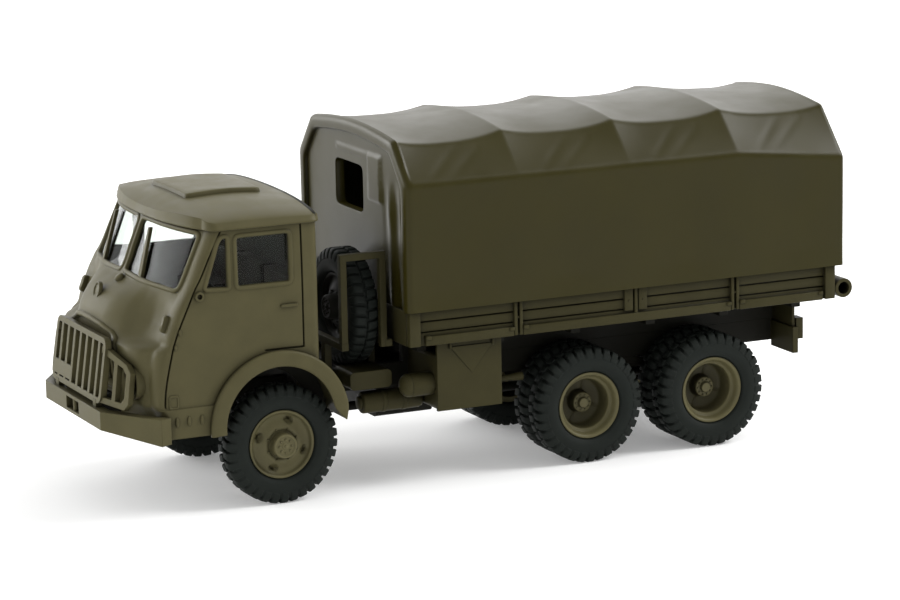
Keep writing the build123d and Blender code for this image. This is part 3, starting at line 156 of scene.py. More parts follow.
def surface(name, colour, rough, tone, grain, edge=0.0, metal=0.0, patch=420.0, gleam=0.12, deep=0.0):
    """Moulded surface: soft patches of tone, uneven gloss, a fine grain, rounded edges and painted shade
    darkening the recesses.
    """
    made = bpy.data.materials.new(name)
    made.use_nodes = True
    tree = made.node_tree
    tree.nodes.clear()
    out = tree.nodes.new("ShaderNodeOutputMaterial")
    shade = node(tree, "ShaderNodeBsdfPrincipled", Metallic=metal, Specular_IOR_Level=gleam)
    place = tree.nodes.new("ShaderNodeTexCoord")
    clouds = node(tree, "ShaderNodeTexNoise", Scale=patch, Detail=4.0, Roughness=0.55)
    fine = node(tree, "ShaderNodeTexNoise", Scale=9000.0, Detail=2.0, Roughness=0.5)
    tones = tree.nodes.new("ShaderNodeValToRGB")
    tones.color_ramp.elements[0].position = 0.3
    tones.color_ramp.elements[1].position = 0.7
    tones.color_ramp.elements[0].color = [c * (1 - tone) for c in colour] + [1]
    tones.color_ramp.elements[1].color = [min(1, c * (1 + tone)) for c in colour] + [1]
    gloss = node(tree, "ShaderNodeMapRange", From_Min=0.3, From_Max=0.7,
                 To_Min=rough - 0.05, To_Max=rough + 0.06)
    bump = node(tree, "ShaderNodeBump", Strength=grain, Distance=0.00002)
    link = tree.links.new
    link(place.outputs["Object"], clouds.inputs["Vector"])
    link(place.outputs["Object"], fine.inputs["Vector"])
    link(clouds.outputs["Fac"], tones.inputs["Fac"])
    link(clouds.outputs["Fac"], gloss.inputs["Value"])
    link(fine.outputs["Fac"], bump.inputs["Height"])
    link(tones.outputs["Color"], shade.inputs["Base Color"])
    link(gloss.outputs["Result"], shade.inputs["Roughness"])
    link(bump.outputs["Normal"], shade.inputs["Normal"])
    link(shade.outputs["BSDF"], out.inputs["Surface"])
    # painted shade: ambient occlusion darkens the base colour within the reach deep, so recesses are painted
    # darker where shade falls
    if deep:
        painted_recess_shade = node(tree, "ShaderNodeAmbientOcclusion", Distance=deep)
        painted_recess_shade.samples = 6
        link(tones.outputs["Color"], painted_recess_shade.inputs["Color"])
        link(painted_recess_shade.outputs["Color"], shade.inputs["Base Color"])
    if edge:
        soft = tree.nodes.new("ShaderNodeBevel")
        soft.samples = 4
        soft.inputs["Radius"].default_value = edge
        link(soft.outputs["Normal"], bump.inputs["Normal"])
    return made


def clear_plastic(name, bend):
    """Clear polished plastic with faint smears; bend is its index of refraction."""
    made = surface(name, (0.80, 0.84, 0.81), 0.10, 0.02, 0.002)
    shade = next(n for n in made.node_tree.nodes if n.type == "BSDF_PRINCIPLED")
    shade.inputs["Transmission Weight"].default_value = 1.0
    shade.inputs["IOR"].default_value = bend
    shade.inputs["Specular IOR Level"].default_value = 0.5
    gloss = next(n for n in made.node_tree.nodes if n.type == "MAP_RANGE")
    gloss.inputs["To Min"].default_value = 0.01
    gloss.inputs["To Max"].default_value = 0.06
    return made


MATERIALS = {}
# painted light: how much lighter the rims' copy of the cab plastic is made, against the shade the tyres and
# mudguards cast on them
RIM_PAINTED_LIGHT = 1.5


class TRUCK_OT_materials(Operator):
    """Makes the truck's materials and puts them on the CAD pieces"""

    bl_idname = "truck.materials"
    bl_label = "Materials"

    def execute(self, context):
        s = settings()
        rim_lit_olive = tuple(RIM_PAINTED_LIGHT * c for c in s.olive)
        # each deep= sets how far the painted shade in the recesses reaches
        MATERIALS.update(
            olive_plastic=surface(
                "olive_moulding", s.olive, 0.42, 0.07, 0.10, edge=s.edge, gleam=0.08, deep=0.001),
            cover_plastic=surface(
                "cover_moulding", s.cover_olive, 0.36, 0.06, 0.08, edge=s.edge, patch=160.0, gleam=0.16,
                deep=0.003),
            dark_plastic=surface("chassis_moulding_and_painted_shade", s.dark_olive_and_shade, 0.55, 0.10, 0.15, edge=s.edge),
            tyre=surface("soft_black_plastic", s.tyre_black, 0.62, 0.14, 0.25, edge=0.6 * s.edge),
            clear_plastic=clear_plastic("clear_moulding", 1.12),
            axle_steel=surface("steel_wire", (0.42, 0.42, 0.41), 0.32, 0.10, 0.10, metal=1.0),
            # rims: the cab plastic lightened as painted light, with painted shade in the dish
            dish=surface("dish_moulding", rim_lit_olive, 0.42, 0.07, 0.10, edge=s.edge, gleam=0.16, deep=0.003),
            bed=surface("bed_moulding", s.bed_shaded_olive, 0.45, 0.08, 0.10, edge=s.edge, gleam=0.09, deep=0.004),
        )
        slots = {p["node"]: p["material_slot"] for p in frame["record"]["subparts"]}
        for name, piece in frame["nodes"].items():
            for slot in piece.material_slots:
                slot.material = MATERIALS[slots[name]]
        thin = clear_plastic("side_clear_moulding", 1.15)
        frame["nodes"]["side_glass"].material_slots[0].material = thin
        # painted shade: the bed and what hangs under it take the darkened bed copy
        for name in BED_NODES:
            frame["nodes"][name].material_slots[0].material = MATERIALS["bed"]
        # painted shade: the bed's deck takes the near-black plastic for the shadow under the bed
        frame["nodes"]["bed_deck"].material_slots[0].material = MATERIALS["dark_plastic"]
        return {"FINISHED"}


# mesh helpers

def piece(name, points, faces, body, slot, smooth=60.0, look=None):
    """New piece from millimetre points, riding on a body; look is its material if not the slot's own."""
    mesh = bpy.data.meshes.new(name)
    mesh.from_pydata([tuple(c * MM for c in p) for p in points], [], faces)
    made = bpy.data.objects.new(name, mesh)
    bpy.context.scene.collection.objects.link(made)
    finish_piece(made, body, slot, smooth, look)
    return made


def finish_piece(made, body, slot, smooth, look):
    """Cleans a piece's mesh, smooths it up to an angle, and gives it its slot and body."""
    work = bmesh.new()
    work.from_mesh(made.data)
    bmesh.ops.remove_doubles(work, verts=work.verts, dist=1e-7)
    bmesh.ops.recalc_face_normals(work, faces=work.faces)
    for edge in work.edges:
        edge.smooth = not (edge.is_manifold and edge.calc_face_angle(0) > math.radians(smooth))
    for face in work.faces:
        face.smooth = True
    work.to_mesh(made.data)
    work.free()
    made.data.materials.append(MATERIALS[look or slot])
    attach(made, body)


def strip_faces(rows, columns, closed=False):
    """Quads of a grid of points, row after row; closed joins the last column to the first."""
    faces = []
    for r in range(rows - 1):
        for c in range(columns if closed else columns - 1):
            n = (c + 1) % columns
            faces.append((r * columns + c, r * columns + n, (r + 1) * columns + n, (r + 1) * columns + c))
    return faces


def turned(profile, steps):
    """Points and faces of a profile of (across, radius) turned about the Y axis."""
    points = []
    for across, radius in profile:
        for k in range(steps):
            a = 2 * math.pi * k / steps
            points.append((radius * math.sin(a), across, -radius * math.cos(a)))
    return points, strip_faces(len(profile), steps, closed=True)


def moved(points, matrix):
    """Points after a matrix, as tuples."""
    return [tuple(matrix @ Vector(p)) for p in points]


def join(parts):
    """Several (points, faces) as one."""
    points, faces = [], []
    for p, f in parts:
        base = len(points)
        points.extend(p)
        faces.extend(tuple(i + base for i in face) for face in f)
    return points, faces


# cover

def bay_at(share):
    """The two hoops about a share of the cover's length, and the share of the bay between them."""
    for a, b in zip(HOOPS, HOOPS[1:]):
        if share <= b[0] + 1e-9:
            break
    return a, b, (share - a[0]) / (b[0] - a[0])


def cover_half(share, sag):
    """Left half of the cover's outline at a share of its length, foot to ridge, as (y, z)."""
    a, b, t = bay_at(share)
    ridge, shoulder, rise, haunch = (p + (q - p) * t for p, q in zip(a[1:], b[1:]))
    full = sag * (1 - abs(2 * t - 1) ** 2.5)
    foot = (COVER_HALF, COVER_FOOT)
    low = (COVER_HALF, COVER_FOOT + COVER_H * haunch)
    high = (COVER_HALF * shoulder + 0.3 * full, COVER_FOOT + COVER_H * rise - full)
    top = COVER_FOOT + COVER_H * ridge - 0.45 * full
    line = [foot, low, high]
    for k in range(1, 13):
        y = high[0] * (1 - k / 12)
        line.append((y, top - (top - high[1]) * (y / high[0]) ** 1.8))
    return line


def even(line, count):
    """Points at even steps along a line of (y, z)."""
    line = np.array(line, float)
    run = np.concatenate([[0], np.cumsum(np.hypot(*np.diff(line, axis=0).T))])
    at = np.linspace(0, run[-1], count)
    return np.stack([np.interp(at, run, line[:, k]) for k in (0, 1)], axis=1)


def rounded(line, width):
    """The line with its corners rounded by a running mean; the ridge end is mirrored."""
    both = np.concatenate([line, (line * [-1, 1])[-2::-1]])
    pad = np.concatenate([np.repeat(both[:1], width, 0), both, np.repeat(both[-1:], width, 0)])
    slope = line[1] - line[0]
    for k in range(width):
        pad[width - 1 - k] = line[0] - slope * (k + 1)
    kernel = np.hanning(2 * width + 3)[1:-1]
    kernel /= kernel.sum()
    out = np.stack([np.convolve(pad[:, k], kernel, "same") for k in (0, 1)], axis=1)
    return out[width:width + len(line)]


class TRUCK_OT_cover(Operator):
    """Builds the moulded cover with its hoops, sagging roof, recessed front wall and window"""

    bl_idname = "truck.cover"
    bl_label = "Cover"

    def execute(self, context):
        sag = settings().sag / MM
        rows, columns = 221, 91
        length = COVER_FRONT - COVER_BACK
        sections = []
        for r in range(rows):
            share = r / (rows - 1)
            half = rounded(even(cover_half(share, sag), columns), 1)
            half = folds(half, share)
            whole = np.concatenate([half, (half * [-1, 1])[-2::-1]])
            sections.append((COVER_FRONT - length * share, whole))
        front, back = sections[0][1], sections[-1][1]
        # columns: distance behind the front face, inset of the outline
        lip = ((0.6, 0.0), (0.33, 0.06), (0.13, 0.2), (0.03, 0.42), (0.0, 0.65), (0.0, 1.12), (0.05, 1.28),
               (0.16, 1.36), (COVER_RECESS, 1.4))
        rim = [(COVER_FRONT - d, rounded(inset_line(front, i), 7 if i > 0.6 else 1)) for d, i in reversed(lip)]
        tail = [(COVER_BACK + d, inset_line(back, i)) for d, i in ((0.25, 0.0), (0.08, 0.06), (0.0, 0.25))]
        ring = rim + [s for s in sections if COVER_BACK + 0.3 < s[0] < COVER_FRONT - 0.65] + tail
        points = [(x, y, z) for x, w in ring for y, z in w]
        skin = (points, strip_faces(len(ring), 2 * columns - 1))
        parts = [skin, self.front_wall(rim[0][1]), self.back_wall(tail[-1][1])]
        made = piece("cover_skin", *join(parts), "truck", "cover_plastic", smooth=50)
        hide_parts("cover")
        return {"FINISHED"}

    def front_wall(self, arch):
        """Recessed wall between the rim and the window, with a flap moulded round the window."""
        x = COVER_FRONT - COVER_RECESS
        outline = closed_outline(arch)
        middle, half = np.array(COVER_WINDOW[0]), np.array(COVER_WINDOW[1])
        window = []
        for p in outline:
            d = p - middle
            window.append(middle + d * np.sum(np.abs(d / half) ** 9) ** (-1 / 9))
        window = np.array(window)
        points, rings = [], 26
        for inner in (0.9, 0.12, 0.0):
            points += [(x - inner, *(middle + (w - middle) * (1 + (0.0 if inner else 0.03)))) for w in window]
        for k in range(1, rings + 1):
            t = (k / rings) ** 1.3
            for w, o in zip(window, outline):
                y, z = w + (o - w) * t
                points.append((x + self.relief(y, z), y, z))
        return points, strip_faces(rings + 3, len(outline), closed=True)

    def relief(self, y, z):
        """How far the front wall stands forward at one place: the flap and the folds at the corner."""
        def step(a, b, v):
            t = min(1, max(0, (v - a) / (b - a)))
            return t * t * (3 - 2 * t)
        flap = step(3.2, 3.6, y) * step(-6.7, -6.35, -y) * step(26.9, 27.3, z) * step(-31.9, -31.4, -z)
        band = step(-4.6, -4.0, y) * step(-6.7, -6.35, -y) * step(30.9, 31.2, z) * step(-31.9, -31.4, -z)
        side = step(6.4, 8.8, y) * step(-30.5, -26, -z)
        waves = 0.2 * side * math.sin(2.4 * y + 0.12 * (z - 26)) * (0.65 + 0.35 * math.sin(0.5 * z))
        return 0.16 * max(flap, 0.5 * band) + waves

    def back_wall(self, arch):
        """Closed back with two shallow upright folds."""
        outline = closed_outline(arch)
        middle = np.array((0.0, 25.0))
        points, rings = [], 24
        for k in range(rings + 1):
            t = k / rings
            for o in outline:
                y, z = o + (middle - o) * t * 0.998
                sunk = 0.18 * math.sin(min(1.0, 3 * t) * math.pi / 2) * (0.6 + 0.4 * math.cos(0.9 * y))
                points.append((COVER_BACK + sunk, y, z))
        return points, strip_faces(rings + 1, len(outline), closed=True)


def closed_outline(arch):
    """An arch of the cover closed along its foot."""
    floor = [(y, COVER_FOOT) for y in np.linspace(arch[-1][0], arch[0][0], 42)[1:-1]]
    return np.concatenate([arch, floor])


def inset_line(line, amount):
    """An open outline moved inwards, square to its own run; its feet stay on the foot line."""
    line = np.array(line, float)
    run = np.gradient(line, axis=0)
    run /= np.maximum(1e-9, np.hypot(run[:, 0], run[:, 1]))[:, None]
    square = np.stack([-run[:, 1], run[:, 0]], axis=1)
    out = line + square * amount
    # points that crossed over at a corner lie nearer the line than the rest
    near = np.hypot(out[:, None, 0] - line[None, :, 0], out[:, None, 1] - line[None, :, 1]).min(axis=1)
    index, good = np.arange(len(out)), near >= 0.98 * amount
    out = np.stack([np.interp(index, index[good], out[good, k]) for k in (0, 1)], axis=1)
    out[:, 1] = np.maximum(out[:, 1], COVER_FOOT)
    return out


def folds(half, share):
    """Shallow folds pressed into the haunch and the wall of the cover."""
    bay = bay_at(share)[2]
    out = half.copy()
    n = len(half)
    for k, (y, z) in enumerate(half):
        up = z - COVER_FOOT
        dip = 0.0
        for start, lean, depth in ((0.22, 0.12, 0.03), (0.40, 0.14, 0.025)):
            line = bay - start - lean * (up - 12.6)
            dip += depth * math.exp(-((up - 14.0) / 1.2) ** 2) * math.exp(-(line / 0.05) ** 2) * (bay < 0.75)
        wall = min(1.0, max(0.0, (12.4 - up) / 4.0)) * min(1.0, up / 2.0)
        dip += 0.08 * wall * (0.5 - 0.5 * math.cos(2 * math.pi * bay))
        dip += 0.03 * wall * (1 + math.sin(21 * share + 0.3 * up))
        a, b = half[max(0, k - 1)], half[min(n - 1, k + 1)]
        d = b - a
        size = math.hypot(*d)
        out[k] = (y - d[1] / size * dip, z + d[0] / size * dip)
    return out


# wheels

def lug_mesh(lugs, height):
    """Both rows of lugs on a tyre about the Y axis, as points and faces."""
    step = 2 * math.pi / lugs
    root = TYRE_R - height
    shape = ((0.10, root - 0.15), (0.10, TYRE_R - 0.07), (0.17, TYRE_R), (0.93, TYRE_R), (1.16, TYRE_R - 0.13),
             (1.31, TYRE_R - 0.46), (1.395, TYRE_R - 0.98), (1.34, TYRE_R - 1.08), (1.15, root - 0.2))
    # columns: share of the step to each side, how far the edge rings pull in
    slices = ((-0.36, 0.10), (-0.32, 0.02), (-0.27, 0.0), (0.27, 0.0), (0.32, 0.02), (0.36, 0.10))
    parts = []
    for side in (1, -1):
        for k in range(lugs):
            points = []
            for turn, drop in slices:
                a = (k + turn + (0.5 if side < 0 else 0.0)) * step
                for across, radius in shape:
                    slant = 0.12 * step * (0.6 - across)
                    r = radius - (drop if radius > root - 0.6 else 0.0)
                    c = a + slant
                    points.append((r * math.sin(c), side * (across - 0.3 * drop), -r * math.cos(c)))
            n = len(shape)
            faces = strip_faces(len(slices), n, closed=True)
            faces += [tuple(range(n)), tuple(range((len(slices) - 1) * n, len(slices) * n))]
            parts.append((points, faces))
    return join(parts)


TYRE_BODY = (
    (0.78, 3.02), (0.78, 3.36), (0.92, 3.42), (1.12, 3.50), (1.22, 3.58), (1.24, 3.66), (1.28, 3.72),
    (1.37, 4.0), (1.395, 4.3), (1.37, 4.62), (1.31, 4.94), (1.23, 5.2), (1.06, 5.36), (0.6, 5.46), (0.0, 5.48),
)


def tyre_mesh():
    """One tyre about the Y axis: a turned body with both rows of lugs."""
    s = settings()
    profile = list(TYRE_BODY) + [(-a, r) for a, r in reversed(TYRE_BODY[:-1])]
    return join([turned(profile, 96), lug_mesh(s.lugs, s.lug_height / MM)])


FRONT_RIM = (
    (-0.9, 3.0), (-1.0, 3.3), (-1.0, 2.75), (0.35, 2.7), (0.35, 1.35), (-0.95, 1.3), (-0.95, 0.62), (0.2, 0.62),
)
# outer face, from the barrel to the hub's middle
FRONT_FACE = (
    (0.6, 3.01), (0.80, 3.33), (0.93, 3.35), (0.99, 3.31), (1.0, 3.22), (0.98, 3.12), (0.90, 3.04), (0.78, 2.98),
    (0.68, 2.90), (0.63, 2.78), (0.63, 2.6), (0.68, 2.4), (0.76, 2.2), (0.86, 2.0), (0.95, 1.84), (1.0, 1.72),
    (1.02, 1.58), (1.0, 1.46), (0.93, 1.38), (0.93, 1.31), (1.02, 1.26), (1.4, 1.24), (1.82, 1.2), (1.92, 1.14),
    (1.95, 1.05), (1.95, 0.98), (1.89, 0.93), (1.88, 0.88), (1.88, 0.36), (1.92, 0.32), (1.95, 0.26), (1.95, 0.0),
)
TWIN_FACE = (
    (2.2, 3.01), (2.42, 3.33), (2.54, 3.36), (2.6, 3.32), (2.61, 3.23), (2.57, 3.12), (2.46, 3.02), (2.28, 2.94),
    (2.04, 2.87), (1.9, 2.8), (1.84, 2.70), (1.82, 2.6), (1.76, 2.53), (1.6, 2.5), (0.9, 2.46), (0.2, 2.4),
    (0.02, 2.3), (-0.06, 2.1), (-0.08, 1.5), (-0.04, 1.18), (0.1, 1.1), (0.6, 1.06), (1.0, 1.02), (1.08, 0.96),
    (1.1, 0.88), (1.1, 0.62), (1.13, 0.56), (1.34, 0.52), (1.42, 0.46), (1.44, 0.0),
)
TWIN_BACK = (
    (-2.4, 3.0), (-2.6, 3.3), (-2.6, 2.75), (-0.6, 2.7), (-0.6, 1.3), (-2.5, 1.25), (-2.5, 0.62), (0.2, 0.62),
)


def rim_mesh(face, back, ring, wide, high):
    """A rim about the Y axis: turned face and back, with four hand holes pressed in on a ring."""
    points, faces = turned(face, 144)
    sunk = []
    for x, y, z in points:
        r, a = math.hypot(x, z), math.atan2(x, -z)
        turn = (a - 0.35) / (math.pi / 2)
        off = (turn - round(turn)) * (math.pi / 2) * ring
        hole = 1 - (off / wide) ** 2 - ((r - ring) / high) ** 2
        sunk.append((x, y - 0.30 * min(1.0, max(0.0, hole * 2.2)), z))
    return join([(sunk, faces), turned(back, 64)])


def bolt(size, height):
    """A six-sided bolt head with a rounded top, standing on Y."""
    points, faces = [], []
    for up, wide in ((-0.05, 1.0), (height * 0.7, 1.0), (height, 0.62)):
        for k in range(6):
            a = math.pi / 3 * k
            points.append((size * wide * math.cos(a), up, size * wide * math.sin(a)))
    faces = strip_faces(3, 6, closed=True) + [tuple(range(12, 18))]
    return points, faces


def bolts(radius, count, face, size, height, turn=0.0):
    """A ring of bolts about the Y axis on a face at one depth."""
    parts = []
    for k in range(count):
        a = 2 * math.pi * (k + turn) / count
        points, faces = bolt(size, height)
        across, up = radius * math.cos(a), radius * math.sin(a)
        parts.append(([(x + across, y + face, z + up) for x, y, z in points], faces))
    return join(parts)


def wheel_frame(x, y, z, side):
    """Matrix of a wheel about Y at one place; the right side is turned about."""
    turn = Matrix.Rotation(0 if side > 0 else math.pi, 4, "Z")
    return Matrix.Translation((x, y, z)) @ turn


SPARE_FRAME = Matrix.Translation(SPARE) @ Matrix.Rotation(-math.pi / 2, 4, "Z")


class TRUCK_OT_tyres(Operator):
    """Builds the lugged tyres on the wheelsets and the spare"""

    bl_idname = "truck.tyres"
    bl_label = "Tyres"

    def execute(self, context):
        points, faces = tyre_mesh()
        for body, x, middles, name in WHEELSETS:
            for side, word in SIDES:
                parts = [(moved(points, wheel_frame(x, side * y, AXLE_Z, side)), faces) for y in middles]
                made = piece(f"{name}_lugged_tyre_{word}", *join(parts), body, "tyre", smooth=38)
                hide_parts(f"{name}_tyre_{word}")
        made = piece("spare_lugged_tyre", moved(points, SPARE_FRAME), faces, "truck", "tyre", smooth=38)
        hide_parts("spare_tyre")
        return {"FINISHED"}


class TRUCK_OT_rims(Operator):
    """Builds the pressed rims with hubs, bolts and hand holes"""

    bl_idname = "truck.rims"
    bl_label = "Rims"

    def execute(self, context):
        front = join([rim_mesh(FRONT_FACE, FRONT_RIM, 2.42, 0.52, 0.27), bolts(1.58, 8, 1.0, 0.11, 0.16, 0.5),
                      bolts(0.64, 8, 1.88, 0.10, 0.12), bolts(0.0, 1, 1.95, 0.13, 0.08)])
        twin = join([rim_mesh(TWIN_FACE, TWIN_BACK, 1.8, 0.42, 0.33), bolts(0.77, 10, 1.1, 0.08, 0.1)])
        for body, x, middles, name in WHEELSETS:
            shape = front if len(middles) == 1 else twin
            wide = sum(middles) / len(middles)
            for side, word in SIDES:
                points = moved(shape[0], wheel_frame(x, side * wide, AXLE_Z, side))
                made = piece(f"{name}_pressed_rim_{word}", points, shape[1], body, "olive_plastic", 40, "dish")
                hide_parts(f"{name}_rim_{word}")
        points = moved(front[0], SPARE_FRAME)
        # painted shade: the spare rim takes the near-black plastic for the shade between the cab and the cover
        made = piece("spare_pressed_rim", points, front[1], "truck", "dark_plastic", smooth=40)
        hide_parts("spare_rim")
        return {"FINISHED"}


# cab

CAB_HALF = 12.65
CAB_SILL = 7.87
CAB_EAVES = 27.3
CAB_BACK = 18.875
ARCH = (23.285, 8.2)
ARCH_R = 7.1
ARCH_LIP = 5.6
# columns: height, then how far forward the front stands at each of FRONT_Y, then the side's end
FRONT_Y = (0.0, 3.0, 5.5, 7.0, 8.5, 10.0, 11.2)
FRONT = (
    (7.87, 36.4, 36.4, 36.3, 36.2, 36.0, 35.65, 35.1, 34.3),
    (10.1, 36.9, 36.85, 36.7, 36.5, 36.25, 35.85, 35.2, 34.4),
    (11.0, 37.0, 36.95, 36.85, 36.7, 36.5, 36.2, 35.65, 35.05),
    (13.0, 37.2, 37.15, 37.05, 36.95, 36.75, 36.4, 35.7, 34.8),
    (15.4, 37.45, 37.4, 37.3, 37.2, 37.0, 36.5, 35.5, 34.4),
    (16.15, 37.5, 37.45, 37.3, 37.15, 36.95, 36.35, 35.25, 34.2),
    (16.5, 37.55, 37.45, 37.1, 36.75, 36.35, 35.65, 34.75, 34.05),
    (16.8, 37.6, 37.45, 36.85, 36.15, 35.45, 34.9, 34.45, 33.95),
    (17.5, 37.65, 37.4, 36.6, 35.55, 34.75, 34.4, 34.3, 33.7),
    (18.4, 37.55, 37.25, 36.25, 35.05, 34.15, 33.85, 33.95, 33.35),
    (19.3, 37.1, 36.8, 35.8, 34.65, 33.8, 33.5, 33.6, 33.05),
    (20.2, 36.3, 36.05, 35.2, 34.25, 33.55, 33.25, 33.2, 32.65),
    (20.9, 35.3, 35.1, 34.55, 33.9, 33.35, 33.05, 32.8, 32.3),
    (21.5, 34.25, 34.15, 33.9, 33.55, 33.2, 32.85, 32.45, 32.0),
    (22.0, 33.9, 33.82, 33.6, 33.35, 33.04, 32.65, 32.14, 31.55),
    (24.5, 32.85, 32.78, 32.55, 32.3, 31.97, 31.55, 30.98, 30.2),
    (27.3, 31.7, 31.62, 31.4, 31.12, 30.78, 30.32, 29.7, 28.85),
)
# door seams: the back one is upright, the front one leans; columns: height, place
BACK_SEAM = 20.575
FRONT_SEAM = (
    (7.87, 34.0), (10.1, 34.15), (11.0, 34.75), (16.0, 33.905), (21.0, 31.845), (26.5, 29.0), (27.3, 28.6))
SEAM_DEEP = 0.22
DOOR_FOOT = (15.35, 24.5)
# panes as corner lists with a corner radius; side panes are (x, z), the others (y, z)
DOOR_PANE = (((21.65, 21.6), (27.3, 21.6), (27.3, 26.62), (21.65, 26.62)), 0.5)
QUARTER_PANE = (((27.95, 21.6), (30.55, 21.75), (29.05, 26.1), (28.65, 26.68), (27.95, 26.7)), 0.35)
SCREEN_PANE = (((0.34, 21.9), (5.5, 21.72), (10.9, 21.55), (10.9, 26.95), (5.5, 27.0), (0.34, 27.02)), 0.7)
BACK_PANE = (((5.8, 22.43), (10.2, 22.43), (10.2, 26.9), (5.8, 26.9)), 0.4)
GRILLE_PANE = tuple(
    [(6.3, 11.9), (6.3, 15.6)]
    + [(6.3 * math.cos(a), 15.6 + 2.2 * math.sin(a)) for a in (0.35, 0.7, 1.05, 1.4, 1.74, 2.09, 2.44, 2.79)]
    + [(-6.3, 15.6), (-6.3, 11.9)])
LAMP = (9.2, 12.95, 1.5)
# roof: foot and height, then its rise along the cab and its fall to the sides as shares of the height
ROOF_FOOT = 27.5
ROOF_H = 1.95
ROOF_RISE = ((18.3, 0.70), (20.5, 0.84), (25.0, 1.0), (28.4, 0.93), (30.2, 0.74), (31.4, 0.46), (32.3, 0.16))
ROOF_FALL = (
    (0.0, 1.0), (4.0, 0.955), (7.5, 0.82), (10.0, 0.61), (11.6, 0.40), (12.4, 0.23), (12.8, 0.08), (13.1, 0.0))


def smooth_value(table, at):
    """Values of a table at one place, on a smooth curve that doesn't overshoot."""
    xs = np.array([row[0] for row in table], float)
    ys = np.array([row[1:] for row in table], float)
    h = np.diff(xs)[:, None]
    d = np.diff(ys, axis=0) / h
    m = np.zeros_like(ys)
    same = d[:-1] * d[1:] > 0
    with np.errstate(divide="ignore", invalid="ignore"):
        mean = 3 * (h[:-1] + h[1:]) / ((2 * h[1:] + h[:-1]) / d[:-1] + (h[1:] + 2 * h[:-1]) / d[1:])
    m[1:-1] = np.where(same, mean, 0)
    m[-1] = d[-1]
    i = int(np.clip(np.searchsorted(xs, at) - 1, 0, len(xs) - 2))
    t = min(1.0, max(0.0, (at - xs[i]) / h[i, 0]))
    a, b = (1 + 2 * t) * (1 - t) ** 2, t * (1 - t) ** 2
    c, e = t * t * (3 - 2 * t), t * t * (t - 1)
    return a * ys[i] + b * h[i, 0] * m[i] + c * ys[i + 1] + e * h[i, 0] * m[i + 1]


FRONT_ROWS = {}


def front_x(y, z):
    """How far forward the cab's front stands."""
    key = round(z, 4)
    if key not in FRONT_ROWS:
        FRONT_ROWS[key] = tuple(zip(FRONT_Y, smooth_value(FRONT, z)[:-1]))
    return float(smooth_value(FRONT_ROWS[key], min(abs(y), FRONT_Y[-1]))[0])


def side_y(z):
    """Half width of the cab at one height."""
    return CAB_HALF - 0.15 * min(1.0, max(0.0, (z - 21.0) / 6.0)) ** 1.5


def roof_z(x, y):
    """Height of the roof's skin."""
    rise = float(smooth_value(ROOF_RISE, x)[0])
    return ROOF_FOOT + ROOF_H * rise * float(smooth_value(ROOF_FALL, min(13.1, abs(y)))[0])


def inside(point, corners):
    """Whether a point lies inside a closed outline."""
    x, y = point
    hit = False
    for (ax, ay), (bx, by) in zip(corners, corners[1:] + corners[:1]):
        if (ay > y) != (by > y) and x < (bx - ax) * (y - ay) / (by - ay) + ax:
            hit = not hit
    return hit


def round_corners(corners, radius, steps=6):
    """Outline with its corners rounded, as many points."""
    out = []
    n = len(corners)
    for k in range(n):
        a, b, c = (Vector(corners[(k + j) % n]) for j in (-1, 0, 1))
        u, v = (a - b), (c - b)
        cut = min(radius, 0.45 * u.length, 0.45 * v.length)
        p, q = b + u.normalized() * cut, b + v.normalized() * cut
        for s in range(steps + 1):
            t = s / steps
            out.append(tuple((1 - t) ** 2 * p + 2 * t * (1 - t) * b + t * t * q))
    return out


def spread(outline, step):
    """Points at about even steps round a closed outline."""
    line = np.array(list(outline) + [outline[0]], float)
    length = np.hypot(*np.diff(line, axis=0).T).sum()
    return even(line, max(8, int(length / step)) + 1)[:-1]


def bead(outline, skin, profile, step=0.25):
    """A bead that follows a closed outline on a skin; profile is (outwards, height) pairs."""
    line = spread(outline, step)
    run = np.roll(line, -1, 0) - np.roll(line, 1, 0)
    run /= np.hypot(run[:, 0], run[:, 1])[:, None]
    square = np.stack([run[:, 1], -run[:, 0]], axis=1)
    if np.sum(line[:, 0] * np.roll(line[:, 1], -1) - np.roll(line[:, 0], -1) * line[:, 1]) < 0:
        square = -square
    points = []
    for out, up in profile:
        for p in line + square * out:
            points.append(skin(p[0], p[1], up))
    return points, strip_faces(len(profile), len(line), closed=True)


def side_skin(sign):
    """Skin of one cab side as a function of (x, z, height)."""
    return lambda x, z, up: (x, sign * (side_y(z) + up), z)


def back_skin(sign):
    """Skin of the cab's back as a function of (y, z, height)."""
    return lambda y, z, up: (CAB_BACK - up, sign * y, z)


def front_skin(sign=1):
    """Skin of the cab's front as a function of (y, z, height)."""
    def place(y, z, up):
        e = 0.05
        a = Vector((front_x(y + e, z) - front_x(y - e, z), 2 * e, 0))
        b = Vector((front_x(y, z + e) - front_x(y, z - e), 0, 2 * e))
        n = a.cross(b).normalized()
        n = n if n.x > 0 else -n
        p = Vector((front_x(y, z), y, z)) + n * up
        return (p.x, sign * p.y, p.z)
    return place


# small mouldings as rings of (share of the size, height)
BADGE_RINGS = ((1.0, -0.1), (1.0, 0.16), (0.92, 0.24), (0.8, 0.24), (0.72, 0.15), (0.4, 0.15), (0.0, 0.2))
KNOB_RINGS = ((1.0, -0.1), (0.95, 0.25), (0.7, 0.38), (0.0, 0.42))
LAMP_RINGS = ((1.0, -0.2), (0.95, 0.3), (0.75, 0.44), (0.0, 0.46))
HANDLE_RINGS = ((1.0, -0.1), (0.97, 0.12), (0.9, 0.2), (0.0, 0.2))
OVAL_RINGS = ((1.0, 0.05), (0.95, 0.22), (0.7, 0.3), (0.0, 0.32))
PLATE_RINGS = ((1.0, -0.1), (0.97, 0.06), (0.9, 0.09), (0.72, 0.09), (0.66, 0.03), (0.0, 0.03))
HINGE_RINGS = ((1.0, -0.1), (0.9, 0.14), (0.0, 0.18))
# section of a window frame as (outwards, height)
FRAME = ((-0.24, -0.45), (-0.22, 0.04), (-0.14, 0.11), (0.06, 0.12), (0.17, 0.07), (0.25, -0.06))


